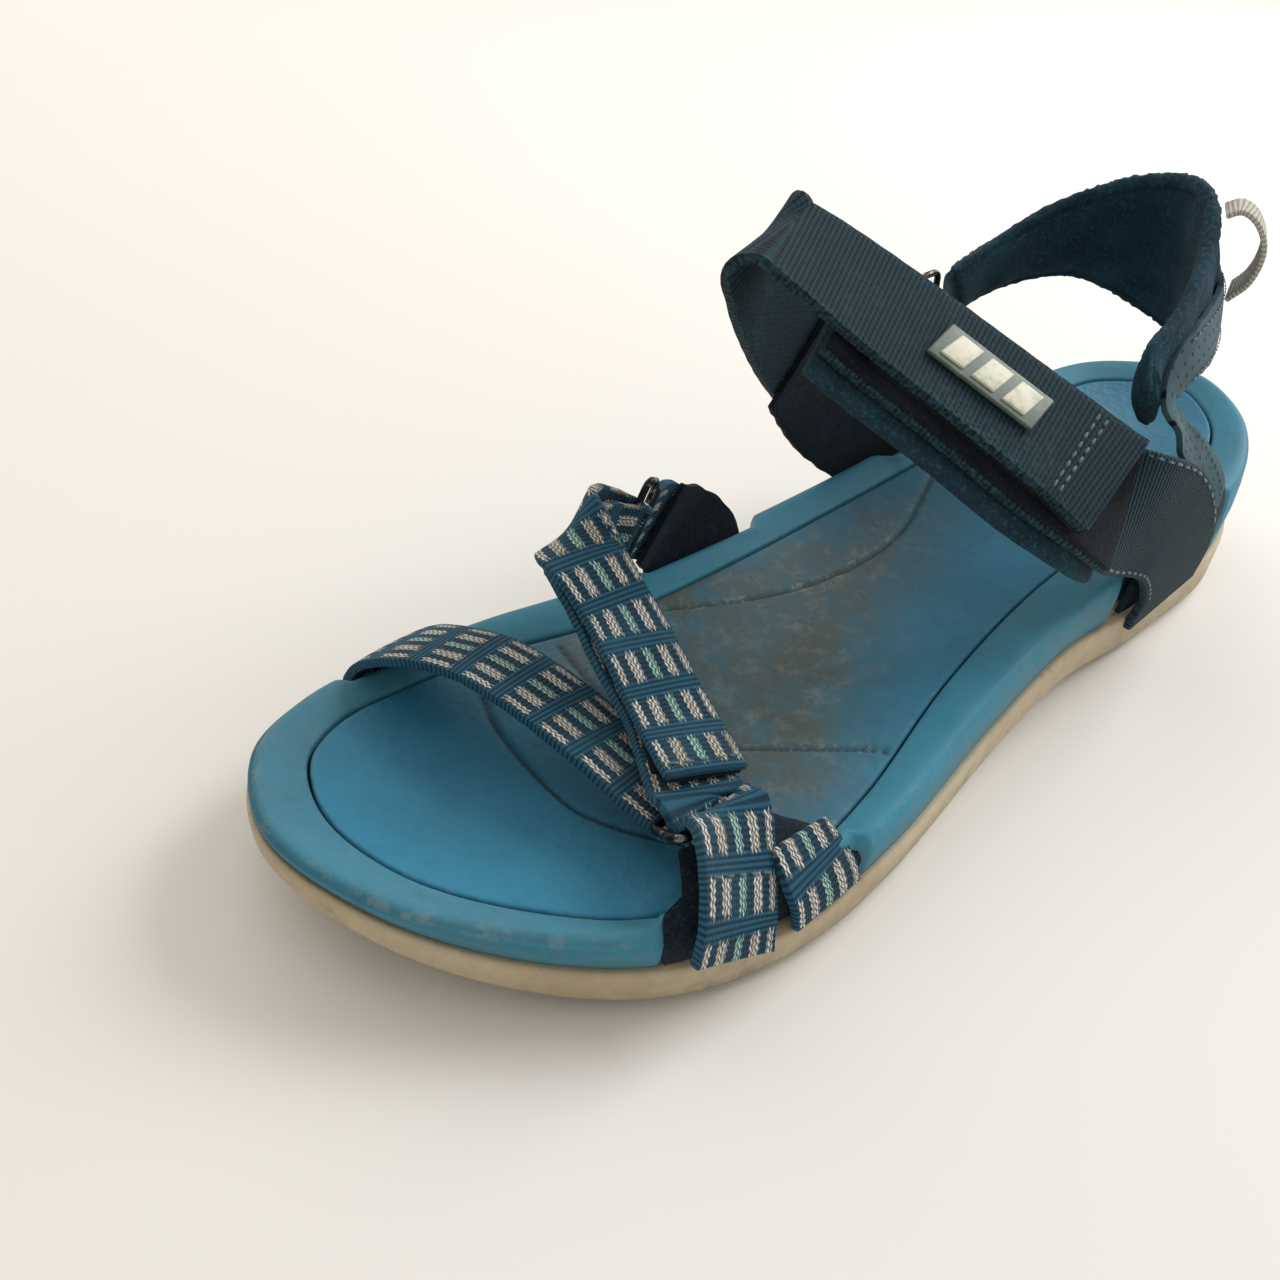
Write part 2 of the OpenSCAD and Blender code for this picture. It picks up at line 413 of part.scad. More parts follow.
// Padded heel collar: rounded sections between the two edges
module heel_collar() {
    c = open_curve(collar_flat, strap_steps);
    sections = [for (i = [0:len(c) - 1]) let (
        top = [c[i][0], c[i][1], c[i][2]],
        low = [c[i][3], c[i][4], c[i][5]],
        a = c[max(i - 1, 0)],
        b = c[min(i + 1, len(c) - 1)],
        along = unit([b[0] + b[3], b[1] + b[4], b[2] + b[5]] - [a[0] + a[3], a[1] + a[4], a[2] + a[5]]),
        out = unit(cross(unit(top - low), along)),
        mid = (top + low) / 2,
        half = norm(top - low) / 2)
        [for (k = [0:collar_side - 1]) let (u = 360 * k / collar_side)
            mid + unit(top - low) * half * cos(u) + out * collar_t / 2 * sin(u)]];
    color(slate) sheath(sections);
}
module lateral_gusset() { color(nubuck) strap(GUSSET, overlay_t, 0, -1); }
module lateral_overlay() { color(nubuck) strap(OVERLAY_OUTER, overlay_t, 0, -1); }
module medial_overlay() { color(nubuck) strap(OVERLAY_INNER, overlay_t, 0, 1); }
module pull_loop() { color("ivory") strap(PULL_LOOP, loop_t); }

outsole();
midsole();
footbed();
arch_shank();
heel_shock_pad();
toe_strap();
toe_loop_patch();
toe_strap_tab();
toe_hook_patch();
lateral_toe_ring();
medial_toe_ring();
front_anchor_web();
rear_anchor_web();
lateral_toe_lining();
medial_arch_web();
medial_arch_lining();
instep_band();
instep_band_pad();
ankle_loop_patch();
lateral_ankle_lining();
ankle_strap();
ankle_strap_tab();
ankle_hook_patch();
badge();
medial_ankle_gusset();
ankle_ring();
ankle_ring_web();
heel_collar();
lateral_gusset();
lateral_overlay();
medial_overlay();
pull_loop();
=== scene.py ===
# %% [markdown]
# # A strappy sport sandal
# This lesson dresses a packed engineering model of a left-foot sandal. The model gives every piece its
# place and the way it moves. Each step names the real piece, how it could be made, and why this way
# was chosen. Lengths are written in millimetres and turned to metres by one factor.

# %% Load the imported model
import math
import random
import bpy
import numpy as np
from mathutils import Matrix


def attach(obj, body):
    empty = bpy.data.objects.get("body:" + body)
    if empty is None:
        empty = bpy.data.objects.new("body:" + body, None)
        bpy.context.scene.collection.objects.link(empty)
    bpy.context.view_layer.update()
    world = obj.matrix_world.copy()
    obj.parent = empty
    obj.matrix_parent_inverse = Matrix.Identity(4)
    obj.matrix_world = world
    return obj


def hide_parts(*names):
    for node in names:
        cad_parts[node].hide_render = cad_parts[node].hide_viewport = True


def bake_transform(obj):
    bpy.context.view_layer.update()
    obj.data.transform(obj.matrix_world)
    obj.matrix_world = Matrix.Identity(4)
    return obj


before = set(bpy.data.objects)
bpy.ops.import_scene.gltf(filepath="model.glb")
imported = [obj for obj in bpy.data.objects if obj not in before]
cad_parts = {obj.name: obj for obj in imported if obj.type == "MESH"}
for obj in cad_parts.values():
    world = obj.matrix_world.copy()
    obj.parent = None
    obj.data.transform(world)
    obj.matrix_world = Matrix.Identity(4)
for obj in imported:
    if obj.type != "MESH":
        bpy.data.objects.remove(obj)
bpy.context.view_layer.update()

MM = 0.001
rng = random.Random(7)

# %% [markdown]
# ## The camera
# A long-ish lens stands in front of the outer side and looks down on the sandal. Its three directions
# are written out, because the view is rolled a few degrees.

# %% Camera
CAMERA_PLACE = (0.1189, -0.1894, 0.1642)
RIGHT = (0.6755, 0.7337, 0.0736)
UP = (-0.4809, 0.3627, 0.7982)
BACK = (0.5589, -0.5746, 0.5978)
bpy.ops.object.camera_add()
camera = bpy.context.object
camera.name = "main_camera"
camera.data.lens = 35.11
camera.data.sensor_width = 36
camera.data.clip_start = 0.01
from mathutils import Matrix, Vector
camera.matrix_world = Matrix(((RIGHT[0], UP[0], BACK[0], CAMERA_PLACE[0]),
                              (RIGHT[1], UP[1], BACK[1], CAMERA_PLACE[1]),
                              (RIGHT[2], UP[2], BACK[2], CAMERA_PLACE[2]), (0, 0, 0, 1)))
bpy.context.scene.camera = camera

# %% [markdown]
# ## Helpers for routes
# A strap follows a few rows: a centre point, the direction across the strap and its width. A
# Catmull-Rom curve runs smoothly through the rows, so that few numbers give a soft shape.

# %% Smooth curves
def between(a, b, c, d, t):
    """Catmull-Rom points from b to c."""
    return 0.5 * (2 * b + (c - a) * t + (2 * a - 5 * b + 4 * c - d) * t**2
                  + (3 * b - a - 3 * c + d) * t**3)


def smooth_open(rows, steps):
    """Points of a smooth curve through the rows, which carry all their columns along."""
    p = np.array(rows, float)
    p = np.vstack([2 * p[0] - p[1], p, 2 * p[-1] - p[-2]])
    t = np.linspace(0, 1, steps, endpoint=False)[:, None]
    out = []
    for a, b, c, d in zip(p[:-3], p[1:-2], p[2:-1], p[3:]):
        out.append(between(a, b, c, d, t))
    return np.vstack(out + [p[-2][None]])


def smooth_closed(points, steps):
    """Points of a smooth closed curve through the points."""
    p = np.array(points, float)
    n = len(p)
    t = np.linspace(0, 1, steps, endpoint=False)[:, None]
    out = []
    for i in range(n):
        a, b, c, d = p[i - 1], p[i], p[(i + 1) % n], p[(i + 2) % n]
        out.append(between(a, b, c, d, t))
    return np.vstack(out)


def heights(table, y):
    """Smooth values of the table [place, value] at the places y."""
    tx = np.array([r[0] for r in table], float)
    tv = np.array([r[1] for r in table], float)
    y = np.clip(y, tx[0], tx[-1])
    i = np.clip(np.searchsorted(tx, y) - 1, 0, len(tx) - 2)
    slope = np.gradient(tv, tx)
    w = tx[i + 1] - tx[i]
    t = (y - tx[i]) / w
    return ((2 * t**3 - 3 * t**2 + 1) * tv[i] + (t**3 - 2 * t**2 + t) * w * slope[i]
            + (3 * t**2 - 2 * t**3) * tv[i + 1] + (t**3 - t**2) * w * slope[i + 1])


def unit(v):
    return v / np.maximum(np.linalg.norm(v, axis=-1, keepdims=True), 1e-9)


def mesh_object(name, points, faces, smooth=True):
    """A new mesh object from points in millimetres."""
    mesh = bpy.data.meshes.new(name)
    mesh.from_pydata((np.asarray(points) * MM).tolist(), [], faces)
    mesh.update()
    piece = bpy.data.objects.new(name, mesh)
    bpy.context.collection.objects.link(piece)
    if smooth:
        mesh.polygons.foreach_set("use_smooth", [True] * len(mesh.polygons))
    return piece


def pick(piece):
    """Makes the piece the only selected and active one."""
    bpy.ops.object.select_all(action="DESELECT")
    piece.select_set(True)
    bpy.context.view_layer.objects.active = piece


def outwards(piece):
    """Turns all faces outwards."""
    pick(piece)
    bpy.ops.object.mode_set(mode="EDIT")
    bpy.ops.mesh.select_all(action="SELECT")
    bpy.ops.mesh.normals_make_consistent(inside=False)
    bpy.ops.object.mode_set(mode="OBJECT")


def use(piece, material, body, slot, *nodes):
    """Gives a piece its finish and its body, and hides the CAD nodes that it stands for. The slot is not
    used.
    """
    piece.data.materials.clear()
    piece.data.materials.append(material)
    if body:
        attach(piece, body)
    if nodes:
        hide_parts(*nodes)
    print(piece.name, len(piece.data.polygons), "faces on", body)


# %% [markdown]
# ## Helpers for finishes
# A finish is a small network of nodes. This class keeps the network short to write: every call adds a
# node, and links the sockets that get another node's output.

# %% Node writer
class Finish:
    def __init__(self, name, roughness=0.6, **sockets):
        self.material = bpy.data.materials.new(name)
        self.material.use_nodes = True
        self.tree = self.material.node_tree
        self.shader = self.tree.nodes["Principled BSDF"]
        self.shader.inputs["Roughness"].default_value = roughness
        for key, value in sockets.items():
            self.shader.inputs[key.replace("_", " ")].default_value = value

    def put(self, socket, value):
        if isinstance(value, bpy.types.NodeSocket):
            self.tree.links.new(value, socket)
        elif isinstance(value, (tuple, list)) and len(value) == 3 and socket.type == "RGBA":
            socket.default_value = (*value, 1)
        else:
            socket.default_value = value

    def add(self, kind, *values, out=0, **settings):
        node = self.tree.nodes.new("ShaderNode" + kind)
        for key, value in settings.items():
            setattr(node, key, value)
        for k, value in enumerate(values):
            if value is not None:
                self.put(node.inputs[k], value)
        return node.outputs[out]

    def math(self, operation, a, b=None, c=None, clamp=False):
        return self.add("Math", a, b, c, operation=operation, use_clamp=clamp)

    def times(self, a, b, clamp=False):
        return self.math("MULTIPLY", a, b, clamp=clamp)

    def plus(self, a, b):
        return self.math("ADD", a, b)

    def sine(self, a):
        return self.math("SINE", a)

    def mix(self, factor, a, b, blend="MIX"):
        node = self.tree.nodes.new("ShaderNodeMix")
        node.data_type = "RGBA"
        node.blend_type = blend
        self.put(node.inputs[0], factor)
        self.put(node.inputs[6], a)
        self.put(node.inputs[7], b)
        return node.outputs[2]

    def place(self):
        return self.add("TexCoord", out=3)

    def noise(self, scale, detail=3, rough=0.55, where=None):
        node = self.tree.nodes.new("ShaderNodeTexNoise")
        self.put(node.inputs["Vector"], where or self.place())
        node.inputs["Scale"].default_value = scale
        node.inputs["Detail"].default_value = detail
        node.inputs["Roughness"].default_value = rough
        return node.outputs[0]

    def cells(self, scale, where=None, feature="F1", out=0):
        node = self.tree.nodes.new("ShaderNodeTexVoronoi")
        node.feature = feature
        self.put(node.inputs["Vector"], where or self.place())
        node.inputs["Scale"].default_value = scale
        return node.outputs[out]

    def band(self, value, low, high, to_low=0.0, to_high=1.0):
        """Turns low..high into to_low..to_high, smoothly and clamped."""
        return self.add("MapRange", value, low, high, to_low, to_high, interpolation_type="SMOOTHSTEP")

    def value(self, name):
        return self.add("Attribute", out=2, attribute_name=name)

    def bump(self, height, distance, strength=1.0, normal=None):
        node = self.tree.nodes.new("ShaderNodeBump")
        node.inputs["Strength"].default_value = strength
        node.inputs["Distance"].default_value = distance
        self.put(node.inputs["Height"], height)
        if normal is not None:
            self.put(node.inputs["Normal"], normal)
        return node.outputs[0]

    def done(self, colour=None, normal=None, roughness=None):
        for name, value in (("Base Color", colour), ("Normal", normal), ("Roughness", roughness)):
            if value is not None:
                self.put(self.shader.inputs[name], value)
        return self.material

    def along_across(self, name="web"):
        """The strap's own map, in millimetres: along it, and across it from its middle."""
        uv = self.add("UVMap", uv_map=name)
        node = self.tree.nodes.new("ShaderNodeSeparateXYZ")
        self.tree.links.new(uv, node.inputs[0])
        return self.times(node.outputs[0], 1000.0), self.times(node.outputs[1], 1000.0)


# %% [markdown]
# ## Foam of the footbed
# The footbed is moulded EVA foam with a fine pebble grain. It is teal blue, greyed by feet at the ball
# and the arch, and its mould lines catch pale scuffs. Masks that follow the shape are written on the
# mesh as attributes, and the node network only reads them. One mask is grime from feet on the footbed
# and painted shade on the midsole's lower side wall and toe rim; another paints shade into the grooves.

# %% Foam finishes
def foam_finish(name, base, grain, grain_depth):
    f = Finish(name, roughness=0.62, Specular_IOR_Level=0.35)
    broad = f.noise(26, 4, 0.6)
    fine = f.noise(240, 3, 0.6)
    colour = f.mix(f.band(broad, 0.35, 0.68), base, tuple(c * 1.28 for c in base))
    colour = f.mix(f.band(fine, 0.52, 0.75, 0.0, 0.3), colour, tuple(c * 0.62 for c in base))
    # This mask is grime from feet on the footbed and painted shade on the midsole's lower side wall and
    # toe rim; it also sets the chalky specks below.
    dirt = f.times(f.value("dirt"), f.band(broad, 0.2, 0.62, 0.55, 1.0))
    dirt = f.times(dirt, f.band(f.noise(95, 4, 0.7), 0.3, 0.6, 0.6, 1.0), clamp=True)
    colour = f.mix(dirt, colour, (0.085, 0.11, 0.1))
    chalk = f.times(f.value("dirt"), f.band(f.noise(210, 5, 0.8), 0.48, 0.74, 0.0, 0.3))
    colour = f.mix(chalk, colour, (0.36, 0.38, 0.34))
    # Painted shade: near-black in the footbed's grooves and on the midsole's wall inside the rim.
    colour = f.mix(f.times(f.value("groove"), 0.75), colour, (0.012, 0.035, 0.05))
    scuff = f.times(f.value("scuff"), f.band(f.noise(260, 4, 0.75), 0.5, 0.62, 0.0, 0.75))
    colour = f.mix(scuff, colour, (0.3, 0.33, 0.27))
    pebble = f.cells(grain)
    normal = f.bump(pebble, grain_depth, 0.55)
    normal = f.bump(f.noise(900, 2, 0.5), 0.00006, 0.5, normal)
    rough = f.band(broad, 0.3, 0.7, 0.54, 0.68)
    return f.done(colour, normal, rough)


FOAM_BLUE = (0.022, 0.168, 0.275)
bed_finish = foam_finish("footbed_foam_finish", FOAM_BLUE, 620, 0.0002)
rim_finish = foam_finish("rim_foam_finish", (0.034, 0.19, 0.275), 1300, 0.00005)

# %% Rubber finish
f = Finish("sand_rubber_finish", roughness=0.58, Specular_IOR_Level=0.3)
broad = f.noise(34, 4, 0.6)
colour = f.mix(f.band(broad, 0.35, 0.7), (0.50, 0.41, 0.265), (0.60, 0.51, 0.355))
colour = f.mix(f.band(f.noise(150, 5, 0.72), 0.56, 0.72, 0.0, 0.45), colour, (0.27, 0.215, 0.14))
# Darker in the tread cuts, towards the bottom edge, and a little all over.
colour = f.mix(f.times(f.value("dirt"), f.band(f.noise(300, 4, 0.7), 0.35, 0.6, 0.4, 1.0)), colour,
               (0.2, 0.165, 0.115))
normal = f.bump(f.noise(700, 3, 0.6), 0.00008, 0.6)
rubber_finish = f.done(colour, normal)

# %% [markdown]
# ## The sole's outline
# The foam midsole, the footbed insert and the rubber bottom all share one outline. It is a smooth
# closed curve, and every layer is a stack of rings at its own distance inside it.

# %% Outline
SOLE = [(0, 132.5), (14, 127), (26, 114), (34, 92), (35.5, 60), (36, 25), (39.5, -10), (45.5, -45),
        (46.5, -70), (40, -94), (27, -112), (8, -127), (-14, -132.5), (-34, -124), (-44, -109),
        (-46.5, -90), (-44, -68), (-39, -45), (-35, -10), (-33, 25), (-32.5, 60), (-31.5, 90),
        (-26, 114), (-14, 127)]
RIM_WIDTH = [7.5, 8, 9, 11, 12, 12, 10.5, 8, 6.8, 6.8, 8, 9.6, 11, 9.5, 9, 9.5, 10, 11, 10, 9, 9, 9, 8, 8]
GROUND_Z = [(-132.5, 12), (-118, 6), (-100, 2), (-80, 0), (-20, 0), (0, 2), (20, 4), (40, 2.5),
            (56, 0), (118, 0), (132.5, 3)]
RUBBER_Z = [(-132.5, 18), (-116, 12.5), (-100, 10), (-60, 8.5), (-20, 9), (0, 11.5), (20, 14),
            (40, 13), (60, 11.5), (100, 11.5), (132.5, 13)]
RIM_Z = [(-132.5, 21.5), (-116, 18.3), (-100, 17), (-60, 18), (-20, 21), (20, 24.5), (60, 28),
         (100, 31), (132.5, 36)]
MIDDLE_X = [(-132.5, -14), (-90, -3), (-50, 2), (0, 2), (60, 1.5), (132.5, 0)]
OUTER_RECESS = [(-96, 0), (-94.8, 2.2), (-56.6, 2.2), (-55.2, 0), (41, 0), (43.5, 3.4), (86, 3.4),
                (88.5, 0)]
INNER_RECESS = [(-101, 0), (-99, 2.4), (-81, 2.4), (-79, 0), (-35.5, 0), (-33, 3), (-3, 3), (-0.5, 0),
                (38, 0), (41, 3.2), (81, 3.2), (84, 0)]
AROUND = 26
edge = smooth_closed(SOLE, AROUND)
rim_width = smooth_closed([(w, 0) for w in RIM_WIDTH], AROUND)[:, 0]
tangent = unit(np.roll(edge, -1, 0) - np.roll(edge, 1, 0))
inward = np.stack([tangent[:, 1], -tangent[:, 0]], 1)
COUNT = len(edge)
is_outer = edge[:, 0] > 2
recess = np.where(is_outer, np.interp(edge[:, 1], *np.array(OUTER_RECESS, float).T),
                  np.interp(edge[:, 1], *np.array(INNER_RECESS, float).T))
print("outline points", COUNT)


def ring(d, share=1.0):
    """The outline moved in by d, then shrunk towards the middle line by the share."""
    p = edge + inward * np.broadcast_to(d, COUNT)[:, None]
    y = p[:, 1] * (0.9 + 0.1 * share)
    return np.stack([heights(MIDDLE_X, y) * (1 - share) + p[:, 0] * share, y], 1)


def ring_faces(count, rings):
    k = np.arange(rings - 1)[:, None] * count
    i = np.arange(count)[None]
    j = (i + 1) % count
    return np.stack([k + i, k + j, k + count + j, k + count + i], -1).reshape(-1, 4).tolist()


def fill_rows(count, start, flip=False):
    """Quads across the thin ring that is left in the middle."""
    half = count // 2
    faces = []
    for i in range(half):
        corners = [i, (i + 1) % count, count - i - 1, (count - i) % count]
        quad = sorted(set(corners), key=corners.index)
        if len(quad) > 2:
            faces.append([start + q for q in (quad[::-1] if flip else quad)])
    return faces


# %% [markdown]
# ## Mould lines
# Fine grooves split the footbed into fields: an arc behind the toes, a long curve at the arch, and a
# pad under the ball. They are pressed into the mesh, because they catch shadow from every side, and
# their colour is darkened with painted shade as well.

# %% Groove distance
GROOVE_DEPTH = 0.85
GROOVE_WIDTH = 0.5
GROOVES = [[(-36, -77), (-28.1, -80), (-16.9, -83.9), (1.8, -85.8), (10.7, -84.4), (21.8, -79),
            (34, -70)],
           [(-28.1, -60.5), (-15, -62.5), (-2.9, -62.3)],
           [(-29, -49), (-23.7, -37.7), (-15.4, -22.7), (-10.3, -9.9), (-7.8, 6.5), (-9.1, 21.8),
            (-14, 35.4), (-22, 53.7)],
           [(13.7, -53.6), (28.8, -38.4), (34.6, -34.9), (37.4, -38.5), (38.6, -47), (38.8, -55.6)]]
groove_points = [smooth_open(g, 12) for g in GROOVES]


def near_groove(xy):
    """The distance of each point to the nearest groove, in millimetres."""
    best = np.full(len(xy), 99.0)
    for line in groove_points:
        for a, b in zip(line[:-1], line[1:]):
            ab = b - a
            t = np.clip(((xy - a) @ ab) / (ab @ ab), 0, 1)
            best = np.minimum(best, np.linalg.norm(xy - a - t[:, None] * ab, axis=1))
    return best


def paint(piece, **masks):
    for name, values in masks.items():
        layer = piece.data.attributes.new(name, "FLOAT", "POINT")
        layer.data.foreach_set("value", np.asarray(values, np.float32))


def foot_dirt(xy):
    """Where feet have greyed the foam: the ball, the toes' roots and the arch."""
    spots = [(4, -50, 26, 22, 1.3), (-4, -20, 20, 26, 0.95), (-20, -38, 14, 16, 1.0),
             (-12, 10, 16, 30, 0.8),
             (-24, -58, 14, 10, 0.7), (0, 80, 20, 30, 0.35), (24, -60, 16, 14, 0.5)]
    x, y = xy[:, 0], xy[:, 1]
    soiled = sum(w * np.exp(-((x - cx) / a)**2 - ((y - cy) / b)**2) for cx, cy, a, b, w in spots)
    return np.clip(soiled, 0, 1)


# %% Footbed insert
bed_rings = [(rim_width + 0.5, 1.0, -5.6), (rim_width + 0.5, 1.0, -2.9), (rim_width + 0.65, 1.0, -2.35),
             (rim_width + 1.2, 1.0, -2.1)]
bed_rings += [(rim_width + 1.2, s, -2.1) for s in np.linspace(1, 0.03, 52)[1:]]
rows = []
for d, share, dz in bed_rings:
    p = ring(d, share)
    dish = (1 - share**2)
    y = p[:, 1]
    heel = np.exp(-((y - 92) / 34)**2)
    arch = np.exp(-((y - 8) / 36)**2) * np.clip(-(p[:, 0] + 4) / 24, 0, 1)
    z = heights(RIM_Z, y) + dz - 1.7 * dish - 1.6 * dish * heel + 1.8 * arch * min(1, 2 * (1 - share))
    rows.append(np.column_stack([p, z]))
points = np.vstack(rows)
distance = near_groove(points[:, :2])
top = np.repeat(np.array([r[2] > -2.2 for r in bed_rings]), COUNT)
points[:, 2] -= np.where(top, GROOVE_DEPTH * np.exp(-(distance / GROOVE_WIDTH)**2), 0)
bed_faces = ring_faces(COUNT, len(bed_rings)) + fill_rows(COUNT, (len(bed_rings) - 1) * COUNT)
footbed = mesh_object("footbed_insert", points, bed_faces)
outwards(footbed)
edge_ring = np.repeat(np.array([abs(r[2] + 2.35) < 0.1 for r in bed_rings]), COUNT)
beside_groove = np.exp(-((distance - 0.75) / 0.35)**2)
near_arch = np.exp(-((points[:, 1] + 5) / 52)**2)
# The mask for the grooves paints shade into them.
paint(footbed, dirt=foot_dirt(points[:, :2]), groove=np.exp(-(distance / GROOVE_WIDTH)**2) * top,
      scuff=np.clip(beside_groove * top * near_arch + edge_ring * 0.25, 0, 1))
use(footbed, bed_finish, "sole", "footbed_foam", "footbed")

# %% [markdown]
# ## The foam midsole
# The midsole is the thick foam body. Its rim stands round the footbed with a shallow rolled top, and its
# wall is pulled in where straps pass down into the sole.

# %% Midsole
wall = [(7.0, "low", -0.6), (2.2 + recess, "low", -0.4), (1.25 + recess, "low", 0.6),
        (0.9 + recess, "mid", 0.25),
        (0.55 + recess, "mid", 0.5), (0.6 + recess, "mid", 0.72), (0.95 + recess, "top", -1.7),
        (1.35 + recess, "top", -0.85), (1.9 + recess, "top", -0.35), (2.7 + recess, "top", -0.05),
        (np.maximum(3.4 + recess, rim_width * 0.42), "top", -0.15),
        (np.maximum(4.4 + recess * 0.85, rim_width * 0.7), "top", -0.8), (rim_width - 0.9, "top", -1.65),
        (rim_width - 0.25, "top", -1.85), (rim_width + 0.0, "top", -2.2), (rim_width + 0.05, "top", -3.6),
        (rim_width + 0.9, "top", -5.4), (rim_width + 4, "top", -5.8)]
rows = []
for d, kind, dz in wall:
    p = ring(np.minimum(d, rim_width + 4))
    low, high = heights(RUBBER_Z, p[:, 1]), heights(RIM_Z, p[:, 1])
    z = low + dz if kind == "low" else (low + (high - low) * dz if kind == "mid" else high + dz)
    rows.append(np.column_stack([p, z]))
points = np.vstack(rows)
faces = ring_faces(COUNT, len(wall))
faces += fill_rows(COUNT, 0) + fill_rows(COUNT, (len(wall) - 1) * COUNT)
midsole = mesh_object("foam_midsole", points, faces)
outwards(midsole)
level = np.repeat(np.arange(len(wall)), COUNT)
y = points[:, 1]
toe_wear, side_wear = np.exp(-((y + 128) / 26)**2), 0.5 * np.exp(-((y + 60) / 30)**2)
wear = np.exp(-((level - 7) / 1.6)**2) * (toe_wear + side_wear + 0.25)
# Painted shade: the lower side wall and the rim round the toe are made darker.
shade = 0.35 * np.exp(-((level - 3) / 2.0)**2) + 0.25 * np.exp(-((y + 112) / 26)**2) * (level > 6)
# The rows inside the rim, under the footbed's edge, get painted shade.
paint(midsole, dirt=shade, groove=(level >= 15) * 1.0,
      scuff=wear * 0.45 + np.exp(-((level - 13) / 0.8)**2) * 0.2)
use(midsole, rim_finish, "sole", "midsole_foam", "midsole", "arch_shank", "heel_shock_pad")

# %% [markdown]
# ## The rubber bottom
# The outsole is sand-coloured rubber. Its upper edge rises and falls in a long wave over the foam, and its
# tread has wavy cuts across the foot. The cuts are pressed up into the mesh inside a plain border.

# %% Outsole
TREAD_DEPTH = 1.8
bottom_rings = [(0.9 + recess, 1.0, "top", 0.3), (0.55, 1.0, "top", 0.3), (0.1, 1.0, "top", -0.1),
                (0.0, 1.0, "top", -1.2),
                (0.25, 1.0, "low", 2.6), (1.0, 1.0, "low", 1.1), (1.8, 1.0, "low", 0.35),
                (2.6, 1.0, "low", 0.0)]
bottom_rings += [(2.6, s, "low", 0.0) for s in np.linspace(1, 0.03, 44)[1:]]
rows = []
for d, share, kind, dz in bottom_rings:
    p = ring(d, share)
    z = heights(RUBBER_Z, p[:, 1]) + dz if kind == "top" else np.maximum(heights(GROUND_Z, p[:, 1]),
        0) + dz
    rows.append(np.column_stack([p, z]))
points = np.vstack(rows)
share_of = np.repeat(np.array([r[1] for r in bottom_rings]), COUNT)
x, y = points[:, 0], points[:, 1]
wave = y + 3.2 * np.sin(x / 5.5) + 0.015 * x * x
cut = np.clip((np.cos(2 * math.pi * wave / 8.4) - 0.55) / 0.2, 0, 1)
slot_line = np.clip((np.cos(2 * math.pi * (x + 1.5 * np.sin(y / 9)) / 27) - 0.93) / 0.03, 0, 1)
inside_border = share_of < 0.9
forefoot, heel_end = np.abs(y + 50) < 74, y > 44
tread = np.maximum(cut, slot_line) * inside_border * (forefoot * 1.0 + heel_end)
points[:, 2] += TREAD_DEPTH * np.clip(tread, 0, 1)
outsole_faces = ring_faces(COUNT, len(bottom_rings)) + fill_rows(COUNT, (len(bottom_rings) - 1) * COUNT)
outsole_faces += fill_rows(COUNT, 0)
outsole = mesh_object("rubber_outsole", points, outsole_faces)
outwards(outsole)
# Mask: darker in the tread cuts, towards the bottom edge, and a little all over.
paint(outsole, dirt=np.clip(tread, 0, 1) * 0.9 + 0.5 * np.exp(-((points[:, 2] - 1) / 3)**2) + 0.2)
use(outsole, rubber_finish, "sole", "outsole_rubber", "outsole")

# %% [markdown]
# ## Webbing
# A web is a flat woven tape. It could be an array of threads, but a thin solid with a woven finish reads
# the same at this size and stays light. A grid is laid along the route, then Solidify gives it its
# thickness and Bevel rounds the selvedges. Its map holds true lengths along and across the tape.

# %% Web maker
STEPS = 8


def route(rows, steps=STEPS):
    """Centre points, directions across, directions up and widths along a smooth route, and its lengths."""
    c = smooth_open(rows, steps)
    mid = c[:, :3]
    along = unit(np.gradient(mid, axis=0))
    across = c[:, 3:6] - along * np.sum(c[:, 3:6] * along, 1)[:, None]
    across = unit(across)
    up = np.cross(along, across)
    length = np.concatenate([[0], np.cumsum(np.linalg.norm(np.diff(mid, axis=0), axis=1))])
    return mid, across, up, c[:, 6], length


